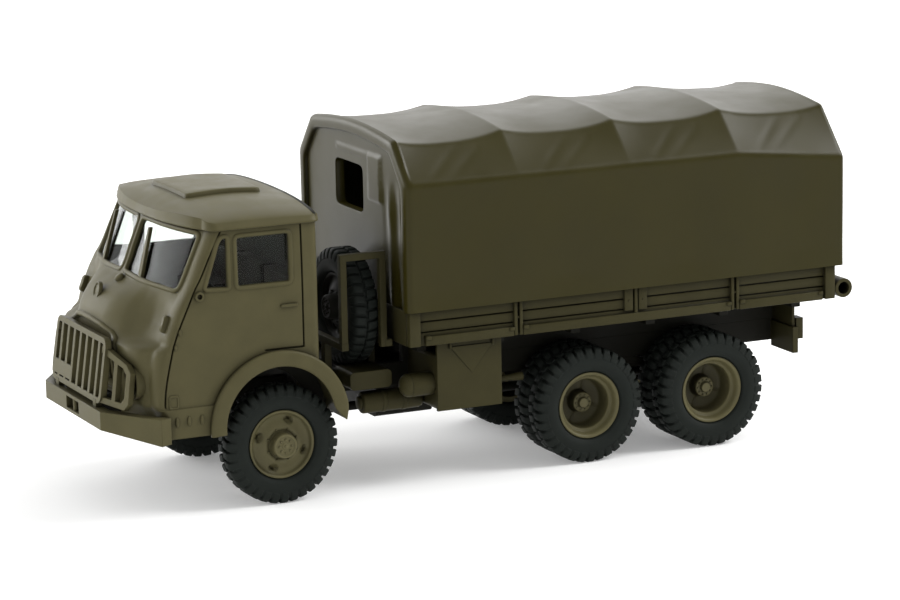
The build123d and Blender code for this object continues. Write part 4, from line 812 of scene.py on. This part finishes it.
def cab_loop(z):
    """One row of the cab's skin: half a loop from the back's middle to the nose, as (x, y, z, kind)."""
    half, ends = side_y(z), smooth_value(FRONT, z)
    side_end = float(ends[-1])
    seam = min(float(smooth_value(FRONT_SEAM, z)[0]), side_end - 0.16)
    loop = []
    for k in range(17):
        y = (half - 0.6) * k / 16
        rise = ROOF_FOOT + ROOF_H * ROOF_RISE[0][1] * float(smooth_value(ROOF_FALL, y)[0]) - 0.25
        up = CAB_SILL + (rise - CAB_SILL) * (z - CAB_SILL) / (CAB_EAVES - CAB_SILL)
        loop.append((CAB_BACK, y, max(z, up), "back"))
    for k in range(1, 5):
        a = math.pi / 2 * k / 4
        loop.append((CAB_BACK + 0.6 - 0.6 * math.cos(a), half - 0.6 + 0.6 * math.sin(a), z, "edge"))

    def run(start, end, count):
        for k in range(1, count + 1):
            loop.append((start + (end - start) * k / count, half, z, "side"))

    def groove(middle, deep):
        for off, low in ((-0.10, 0), (-0.045, deep), (0.045, deep), (0.10, 0)):
            loop.append((middle + off, half - low, z, "side"))

    run(CAB_BACK + 0.6, BACK_SEAM - 0.2, 4)
    groove(BACK_SEAM, SEAM_DEEP if 15.3 < z < 27.1 else 0.0)
    run(BACK_SEAM + 0.2, seam - 0.2, 62)
    groove(seam, SEAM_DEEP if 10.9 < z < 27.1 else 0.0)
    turn_x, turn_y = front_x(FRONT_Y[-1], z), FRONT_Y[-1]
    start = max(side_end, seam + 0.14)
    for k in range(0, 13):
        a = math.pi / 2 * k / 12
        x = start + (turn_x - start) * math.sin(a)
        y = turn_y + (half - turn_y) * math.cos(a)
        loop.append((x, y, z, "corner"))
    for k in range(1, 57):
        y = turn_y * (1 - k / 56)
        loop.append((front_x(y, z), y, z, "front"))
    return loop


class TRUCK_OT_cab(Operator):
    """Builds the cab's skin with its nose, seams, roof, window frames and mouldings"""

    bl_idname = "truck.cab"
    bl_label = "Cab"

    def execute(self, context):
        levels = sorted(set([round(CAB_SILL + k * 0.2, 3) for k in range(97)]
                            + [10.7, 10.78, 10.86, 15.22, 15.3, 15.4, 15.48, CAB_EAVES - 0.12]))
        halves = [cab_loop(z) for z in levels]
        count = len(halves[0])
        kinds = [p[3] for p in halves[0]]
        rows = []
        for half in halves:
            row = []
            for x, y, z, kind in half:
                if kind == "side" and abs(z - DOOR_FOOT[0]) < 0.06 and BACK_SEAM < x < DOOR_FOOT[1]:
                    y -= SEAM_DEEP
                if kind in ("side", "corner") and z < 10.75 and x > 27:
                    y += 0.14
                row.append((x, y, z))
            rows.append(row)
        rows += self.roof_rows(halves[-1], kinds)
        loop = 2 * count - 2
        points = []
        for row in rows:
            points += row + [(x, -y, z) for x, y, z in row[-2:0:-1]]
        both = kinds + kinds[-2:0:-1]
        faces = [f for f in strip_faces(len(rows), loop, closed=True)
                 if self.solid(f, points, both, loop, len(levels))]
        made = piece("cab_skin", points, faces, "truck", "olive_plastic", smooth=40)
        thick = made.modifiers.new("wall", "SOLIDIFY")
        thick.thickness = 0.45 * MM
        thick.offset = -1
        # painted shade: the inside of the cab's wall takes the near-black plastic for the shaded cab interior
        thick.material_offset = 1
        made.data.materials.append(MATERIALS["dark_plastic"])
        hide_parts("cab_shell")
        self.trim()
        return {"FINISHED"}

    def roof_rows(self, half, kinds):
        """Rows from the eaves over the drip edge to the roof's middle."""
        wide = side_y(CAB_EAVES)
        edge = np.array([(x, wide if k == "side" else y) for x, y, z, k in half])
        tops = [z for x, y, z, k in half]
        run = np.gradient(edge, axis=0)
        run /= np.maximum(1e-9, np.hypot(run[:, 0], run[:, 1]))[:, None]
        out = np.stack([-run[:, 1], run[:, 0]], axis=1) * -1
        out[0] = (-1, 0)
        out[-1] = (1, 0)
        mid = np.array((25.0, 0.0))
        flip = np.sign(np.sum(out * (edge - mid), axis=1))[:, None]
        out = out * np.where(flip == 0, 1, flip)
        out[:, 1] = np.maximum(out[:, 1], 0)
        rows = []
        for off, up in ((0.04, 0.04), (0.24, 0.06), (0.30, 0.11), (0.31, 0.17), (0.27, 0.25)):
            rows.append([(e[0] + o[0] * off, e[1] + o[1] * off, z + up) for e, o, z in zip(edge, out, tops)])
        rim = edge + out * 0.27
        for k in range(1, 41):
            s = 1 - (k / 40) ** 1.25
            row = []
            for (x, y), z in zip(rim, tops):
                p = mid + (np.array((x, y)) - mid) * s
                near = min(1.0, (1 - s) / 0.02)
                high = roof_z(p[0], p[1])
                row.append((float(p[0]), float(p[1]), (z + 0.25) * (1 - near) + max(high, 27.55) * near))
            rows.append(row)
        return rows

    def solid(self, face, points, kinds, loop, levels):
        """Whether a face of the grid is plastic and not an opening."""
        if face[0] // loop >= levels - 1:
            return True
        x, y, z = (sum(points[i][k] for i in face) / 4 for k in range(3))
        kind = kinds[face[0] % loop]
        if kind in ("side", "corner", "edge"):
            if math.hypot(x - ARCH[0], z - ARCH[1]) < ARCH_R - 0.35:
                return False
            return not (inside((x, z), list(DOOR_PANE[0])) or inside((x, z), list(QUARTER_PANE[0])))
        if kind == "back":
            return not (inside((abs(y), z), list(BACK_PANE[0])) or (abs(y) > 7.4 and z < 13.4))
        if z < 11.15 and abs(y) < 5.33:
            return False
        if math.hypot(abs(y) - LAMP[0], z - LAMP[1]) < LAMP[2]:
            return False
        return not (inside((abs(y), z), list(SCREEN_PANE[0])) or inside((y, z), list(GRILLE_PANE)))

    def trim(self):
        """Window frames, grille moulding, roof hatch and small mouldings."""
        parts = []
        for sign in (1, -1):
            for corners, radius in (DOOR_PANE, QUARTER_PANE):
                parts.append(bead(round_corners(corners, radius), side_skin(sign), FRAME))
            corners, radius = SCREEN_PANE
            parts.append(bead(round_corners(corners, radius), front_skin(sign), FRAME))
            parts.append(bead(round_corners(*BACK_PANE), back_skin(sign), FRAME))
        piece("window_frames", *join(parts), "truck", "olive_plastic", smooth=50)
        arch = ((-0.28, -0.5), (-0.25, 0.1), (-0.12, 0.24), (0.1, 0.26), (0.24, 0.15), (0.32, -0.1))
        points, faces = bead(GRILLE_PANE, front_skin(), arch, 0.15)
        piece("grille_moulding", points, faces, "truck", "olive_plastic", smooth=50)
        self.glass()
        self.hatch()
        self.nubs()

    def glass(self):
        """Both windscreen panes, set into the front behind their frames."""
        parts = []
        for sign in (1, -1):
            skin = front_skin(sign)
            rows, columns = np.linspace(21.45, 27.15, 24), np.linspace(0.12, 11.15, 40)
            points = [skin(y, z, -0.24) for z in rows for y in columns]
            parts.append((points, strip_faces(len(rows), len(columns))))
        made = piece("curved_windscreen", *join(parts), "truck", "clear_plastic", smooth=60)
        thick = made.modifiers.new("pane", "SOLIDIFY")
        thick.thickness = 0.16 * MM
        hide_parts("windscreen")

    def hatch(self):
        """Raised roof hatch with rounded edges that follows the roof."""
        outline = spread(round_corners(((21.3, -4.75), (29.0, -4.75), (29.0, 4.75), (21.3, 4.75)), 0.5), 0.2)
        mid = np.array((25.15, 0.0))
        points = []
        rings = ((1.02, -0.2), (1.005, 0.0), (0.99, 0.26), (0.975, 0.33), (0.955, 0.36), (0.8, 0.36), (0.5, 0.36),
                 (0.25, 0.36), (0.0, 0.36))
        for s, up in rings:
            for p in mid + (outline - mid) * s:
                points.append((float(p[0]), float(p[1]), min(29.74, roof_z(p[0], p[1] * 0.8) + up)))
        faces = strip_faces(len(rings), len(outline), closed=True)
        piece("roof_hatch", points, faces, "truck", "olive_plastic", smooth=50)

    def nubs(self):
        """Badge disc, filler knob, indicators, door handles and the step's pressed ovals."""
        skin = front_skin()
        nose = front_x(0.0, 20.15) + 0.1
        badge = lambda y, z, up: (nose - 0.28 * (z - 20.15) + up, y, z + 0.25 * up)
        parts = [self.dome(badge, 0.0, 20.15, 0.78, 0.86, BADGE_RINGS),
                 self.dome(skin, 0.9, 21.35, 0.5, 0.28, KNOB_RINGS)]
        for sign in (1, -1):
            parts.append(self.dome(front_skin(sign), 11.15, 18.6, 0.33, 0.8, LAMP_RINGS, power=5))
        piece("nose_fittings", *join(parts), "truck", "olive_plastic", smooth=45)
        parts = []
        for sign in (1, -1):
            skin = side_skin(sign)
            parts.append(self.dome(skin, 22.0, 19.5, 0.9, 0.15, HANDLE_RINGS, power=6))
            for x in (33.7, 32.5, 31.2):
                parts.append(self.dome(skin, x, 9.5, 0.2, 0.48, OVAL_RINGS))
            parts.append(self.dome(skin, 33.9, 11.4, 0.5, 0.7, PLATE_RINGS, power=8))
            for z in (16.6, 18.0):
                parts.append(self.dome(skin, 33.75 - 0.34 * (z - 16.0), z, 0.14, 0.3, HINGE_RINGS))
        piece("side_fittings", *join(parts), "truck", "olive_plastic", smooth=45)

    def dome(self, skin, u, v, wide, high, profile, power=2.0, steps=28):
        """A raised shape on a skin: rings of (share of its size, height) about one place."""
        points = []
        for share, up in profile:
            for k in range(steps):
                a = 2 * math.pi * k / steps
                c, s = math.cos(a), math.sin(a)
                r = (abs(c) ** power + abs(s) ** power) ** (-1 / power)
                points.append(skin(u + wide * share * r * c, v + high * share * r * s, up))
        return points, strip_faces(len(profile), steps, closed=True)


class TRUCK_OT_mudguards(Operator):
    """Builds the rolled front mudguards and the arch linings"""

    bl_idname = "truck.mudguards"
    bl_label = "Mudguards"

    def execute(self, context):
        # columns: distance from the arch's middle, distance from the truck's middle
        section = (
            (6.55, 8.6), (6.75, 12.2), (6.98, 12.55), (7.08, 12.8), (7.1, 13.0), (7.06, 13.18), (6.94, 13.29),
            (6.75, 13.33), (6.2, 13.36), (5.78, 13.36), (5.64, 13.33), (5.58, 13.24), (5.6, 13.12), (5.72, 13.06),
            (6.2, 13.02), (6.3, 12.7), (6.32, 8.6))
        ends = (math.radians(-4), math.radians(182.5))
        made, steps = [], 90
        for sign in (1, -1):
            points = []
            for k in range(steps + 1):
                a = ends[0] + (ends[1] - ends[0]) * k / steps
                tip = max(0.0, math.degrees(a) - 168) / 14.5
                for r, y in section:
                    r += (6.72 - r) * 0.93 * tip ** 1.6
                    points.append((ARCH[0] + r * math.cos(a), sign * y, ARCH[1] + r * math.sin(a)))
            faces = strip_faces(steps + 1, len(section), closed=True)
            n = len(section)
            faces += [tuple(range(n)), tuple(range(steps * n, steps * n + n))]
            made.append((points, faces))
        lining = []
        for sign in (1, -1):
            points = []
            for r, y in ((6.7, 8.75), (6.7, 8.5), (4.6, 8.4), (4.6, 8.65)):
                for k in range(49):
                    a = math.pi * k / 48
                    points.append((ARCH[0] + r * math.cos(a), sign * y, ARCH[1] + r * math.sin(a)))
            lining.append((points, strip_faces(4, 49) + [(k, k + 147, k + 148, k + 1) for k in range(48)]))
        piece("arch_linings", *join(lining), "truck", "dark_plastic", smooth=45)
        guards = piece("rolled_mudguards", *join(made), "truck", "olive_plastic", smooth=45)
        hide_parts("front_mudguards")
        return {"FINISHED"}


# bed

def limits(name):
    """Low and high corners of a CAD piece's box, in millimetres."""
    return (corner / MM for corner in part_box(name))


def block(low, high, soft=0.06):
    """A block with rounded edges, as points and faces."""
    work = bmesh.new()
    bmesh.ops.create_cube(work, size=1.0)
    for v in work.verts:
        v.co = [a + (b - a) * (c + 0.5) for a, b, c in zip(low, high, v.co)]
    bmesh.ops.bevel(work, geom=work.edges[:], offset=soft, segments=2, profile=0.5, affect="EDGES")
    work.verts.index_update()
    made = [tuple(v.co) for v in work.verts], [tuple(v.index for v in f.verts) for f in work.faces]
    work.free()
    return made


# planks as (bottom, top), posts of two ribs, the post with two plates, and the ledges as (front, back)
BOARD_PLANKS = ((14.0, 15.24), (15.36, 16.28), (16.40, 17.42))
RIB_POSTS = (-2.0, -26.05)
PLATE_POST = -14.9
LEDGES = ((7.95, -1.5), (-2.5, -25.55), (-26.55, -36.1))


class TRUCK_OT_boards(Operator):
    """Builds the bed's side boards with planks, posts, ledges and lugs"""

    bl_idname = "truck.boards"
    bl_label = "Boards"

    def execute(self, context):
        low, high = limits("side_board_left")
        back, front, deep, face = low.x, high.x, low.y, high.y
        flat = face - 0.4
        parts = [block((back + 0.2, deep, 14.0), (front - 0.2, flat - 0.25, 17.42), 0.02)]
        parts += [block((back + 0.2, deep, z), (front - 0.2, flat, up), 0.06) for z, up in BOARD_PLANKS]
        for x in (front - 0.58, back + 0.58):
            parts.append(block((x - 0.58, deep, 14.0), (x + 0.58, face, 17.42), 0.1))
        for x in RIB_POSTS:
            for rib in (x - 0.29, x + 0.29):
                parts.append(block((rib - 0.17, deep, 14.05), (rib + 0.17, face - 0.03, 17.42)))
            parts.append(block((x - 0.1, deep, 15.7), (x + 0.1, face - 0.1, 15.92), 0.05))
        x = PLATE_POST
        parts.append(block((x - 0.17, deep, 14.9), (x + 0.17, face - 0.05, 17.42)))
        for off in (-0.78, 0.78):
            parts.append(block((x + off - 0.48, deep, 15.15), (x + off + 0.48, face - 0.12, 17.42), 0.07))
            parts.append(block((x + off - 0.08, deep, 16.1), (x + off + 0.08, face - 0.06, 16.26), 0.04))
        for a, b in LEDGES:
            parts.append(block((b, deep, 14.0), (a, face, 14.92), 0.08))
            parts.append(block((a - 0.55, deep, 14.62), (a + 0.02, face + 0.16, 14.98), 0.06))
            parts.append(block((b - 0.02, deep, 14.55), (b + 0.5, face + 0.1, 14.9), 0.06))
        points, faces = join(parts)
        for sign, word in SIDES:
            placed = [(x, sign * y, z) for x, y, z in points]
            made = piece(f"planked_board_{word}", placed, faces, "truck", "olive_plastic", 35, "bed")
            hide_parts(f"side_board_{word}")
        return {"FINISHED"}


class TRUCK_OT_tanks(Operator):
    """Builds the tanks, the pipe and the flap's fittings under the bed"""

    bl_idname = "truck.tanks"
    bl_label = "Tanks"

    def execute(self, context):
        low, high = limits("step_box")
        r, a, b = 1.08, low.x, high.x
        profile = [(a, 0.0), (a, 0.7 * r), (a + 0.12, 0.9 * r), (a + 0.35, r)]
        for share in (0.3, 0.62):
            x = a + (b - a) * share
            profile += [(x - 0.24, r), (x - 0.2, r + 0.05), (x + 0.2, r + 0.05), (x + 0.24, r)]
        profile += [(b - 0.5, r), (b - 0.36, 0.94 * r), (b - 0.3, 0.8 * r), (b - 0.28, 0.62 * r),
                    (b - 0.05, 0.6 * r), (b, 0.52 * r), (b, 0.0)]
        self.barrel("round_step_tank", "step_box", profile, high.y - r - 0.05, low.z + r)
        low, high = limits("air_tank")
        r, a, b = (high.z - low.z) / 2, low.x, high.x
        profile = [(a, 0.0), (a, r), (b - 1.05, r), (b - 0.98, 0.95 * r), (b - 0.92, r), (b - 0.7, 0.985 * r),
                   (b - 0.42, 0.88 * r), (b - 0.2, 0.68 * r), (b - 0.06, 0.4 * r), (b, 0.0)]
        self.barrel("domed_air_tank", "air_tank", profile, (low.y + high.y) / 2, (low.z + high.z) / 2)
        low, high = limits("exhaust_pipe")
        r, a, b = (high.z - low.z) / 2, low.x, high.x
        profile = [(a + 0.9, 0.0), (a + 0.9, 0.7 * r), (a + 0.05, 0.78 * r), (a, 0.9 * r), (a + 0.04, r),
                   (a + 0.5, 0.97 * r), (a + 0.9, 0.86 * r), (a + 1.3, 0.72 * r), (b, 0.68 * r), (b, 0.0)]
        self.barrel("flared_pipe", "exhaust_pipe", profile, (low.y + high.y) / 2, (low.z + high.z) / 2)
        low, high = limits("stowage_box")
        wide, face, top = high.x - low.x, high.y, high.z
        first, second, middle = high.x - 0.2 * wide, high.x - 0.86 * wide, high.x - 0.54 * wide
        out, near = face + 0.12, face - 0.05
        points = [(first, near, top - 0.5), (second, near, top - 0.5), (middle, near, top - 3.4),
                  (first, out, top - 0.55), (second, out, top - 0.55), (middle, face + 0.01, top - 3.35)]
        faces = [(0, 1, 2), (3, 4, 5), (0, 1, 4, 3), (1, 2, 5, 4), (2, 0, 3, 5)]
        parts = [(points, faces)]
        for x in (first, second):
            parts.append(block((x - 0.14, face - 0.1, top - 0.75), (x + 0.14, face + 0.26, top - 0.02), 0.1))
        piece("flap_fittings", *join(parts), "truck", "olive_plastic", 35, "bed")
        return {"FINISHED"}

    def barrel(self, name, old, profile, y, z):
        """A turned piece along the truck in place of a CAD piece."""
        along = Matrix.Translation((0, y, z)) @ Matrix.Rotation(-math.pi / 2, 4, "Z")
        points, faces = turned(profile, 48)
        made = piece(name, moved(points, along), faces, "truck", "olive_plastic", 40, "bed")
        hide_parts(old)


# stage

# camera: turn, height and roll in degrees, the point it looks at, its distance, and its lens
CAMERA_ANGLES = (24.817, 11.689, -1.072)
CAMERA_AIM = (-0.613, 0, 15.354)
CAMERA_FAR = 380.083
CAMERA_LENS = 151.95


class TRUCK_OT_stage(Operator):
    """Sets the floor, the soft light and the camera"""

    bl_idname = "truck.stage"
    bl_label = "Stage"

    def execute(self, context):
        scene = context.scene
        scene.view_settings.view_transform = "Standard"
        self.floor(scene)
        self.light(scene)
        self.camera(scene)
        return {"FINISHED"}

    def floor(self, scene):
        """A plain pale floor that keeps the shadow."""
        mesh = bpy.data.meshes.new("floor")
        mesh.from_pydata([(-4, -4, 0), (4, -4, 0), (4, 4, 0), (-4, 4, 0)], [], [(0, 1, 2, 3)])
        made = bpy.data.objects.new("floor", mesh)
        pale = surface("pale_floor", (0.93, 0.93, 0.925), 0.9, 0.004, 0.0, patch=20.0)
        shade = next(n for n in pale.node_tree.nodes if n.type == "BSDF_PRINCIPLED")
        shade.inputs["Emission Color"].default_value = (1, 1, 1, 1)
        seen = pale.node_tree.nodes.new("ShaderNodeLightPath")
        first, both = (pale.node_tree.nodes.new("ShaderNodeMath") for k in range(2))
        first.operation = both.operation = "MAXIMUM"
        glow = node(pale.node_tree, "ShaderNodeMapRange", To_Max=0.2)
        link = pale.node_tree.links.new
        link(seen.outputs["Is Camera Ray"], first.inputs[0])
        link(seen.outputs["Is Glossy Ray"], first.inputs[1])
        link(first.outputs["Value"], both.inputs[0])
        link(seen.outputs["Is Transmission Ray"], both.inputs[1])
        link(both.outputs["Value"], glow.inputs["Value"])
        link(glow.outputs["Result"], shade.inputs["Emission Strength"])
        made.data.materials.append(pale)
        scene.collection.objects.link(made)

    def light(self, scene):
        """White surroundings and four large soft lamps."""
        world = bpy.data.worlds.new("studio")
        world.use_nodes = True
        world.node_tree.nodes["Background"].inputs["Color"].default_value = (1, 1, 1, 1)
        world.node_tree.nodes["Background"].inputs["Strength"].default_value = 0.55
        scene.world = world
        # columns: name, place, width, height, power
        for name, place, wide, high, power in (
            ("top_lamp", (-0.78, 0.18, 0.66), 0.55, 0.5, 9.5),
            ("back_lamp", (-0.20, -1.20, 0.72), 2.6, 1.3, 15.5),
            ("side_lamp", (0.60, -0.68, 0.22), 0.75, 0.45, 6.0),
            ("front_lamp", (1.00, 0.25, 0.45), 0.6, 0.6, 1.7),
        ):
            lamp = bpy.data.lights.new(name, "AREA")
            lamp.shape = "RECTANGLE"
            lamp.size = wide
            lamp.size_y = high
            lamp.energy = power
            made = bpy.data.objects.new(name, lamp)
            made.location = place
            made.rotation_euler = (Vector((0, 0, 0.015)) - Vector(place)).to_track_quat("-Z", "Y").to_euler()
            scene.collection.objects.link(made)

    def camera(self, scene):
        """The camera: turn, height, distance and roll about a point on the truck."""
        turn, lift, roll = (math.radians(a) for a in CAMERA_ANGLES)
        back = Vector((math.sin(turn) * math.cos(lift), math.cos(turn) * math.cos(lift), math.sin(lift)))
        right = (-back).cross(Vector((0, 0, 1))).normalized()
        up = right.cross(-back)
        across = math.cos(roll) * right + math.sin(roll) * up
        above = -math.sin(roll) * right + math.cos(roll) * up
        matrix = Matrix((across, above, back)).transposed().to_4x4()
        matrix.translation = (Vector(CAMERA_AIM) + back * CAMERA_FAR) * MM
        data = bpy.data.cameras.new("camera")
        data.lens = CAMERA_LENS
        data.sensor_width = 36.0
        data.clip_start = 0.01
        made = bpy.data.objects.new("camera", data)
        made.matrix_world = matrix
        scene.collection.objects.link(made)
        scene.camera = made


class TRUCK_PT_panel(Panel):
    """Lists the truck's settings and operators"""

    bl_idname = "TRUCK_PT_panel"
    bl_label = "Truck"
    bl_space_type = "VIEW_3D"
    bl_region_type = "UI"
    bl_category = "Truck"

    def draw(self, context):
        for name in TruckSettings.__annotations__:
            self.layout.prop(context.scene.truck_model, name)
        for kind in OPERATORS:
            self.layout.operator(kind.bl_idname)


OPERATORS = (
    TRUCK_OT_materials,
    TRUCK_OT_cover,
    TRUCK_OT_tyres,
    TRUCK_OT_rims,
    TRUCK_OT_cab,
    TRUCK_OT_mudguards,
    TRUCK_OT_boards,
    TRUCK_OT_tanks,
    TRUCK_OT_stage,
)
CLASSES = (TruckSettings, *OPERATORS, TRUCK_PT_panel)


def register():
    for kind in CLASSES:
        bpy.utils.register_class(kind)
    bpy.types.Scene.truck_model = PointerProperty(type=TruckSettings)


def unregister():
    del bpy.types.Scene.truck_model
    for kind in reversed(CLASSES):
        bpy.utils.unregister_class(kind)


def main():
    """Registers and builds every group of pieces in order."""
    register()
    bpy.ops.truck.materials()
    bpy.ops.truck.cover()
    bpy.ops.truck.tyres()
    bpy.ops.truck.rims()
    bpy.ops.truck.cab()
    bpy.ops.truck.mudguards()
    bpy.ops.truck.boards()
    bpy.ops.truck.tanks()
    bpy.ops.truck.stage()


if __name__ == "__main__":
    main()
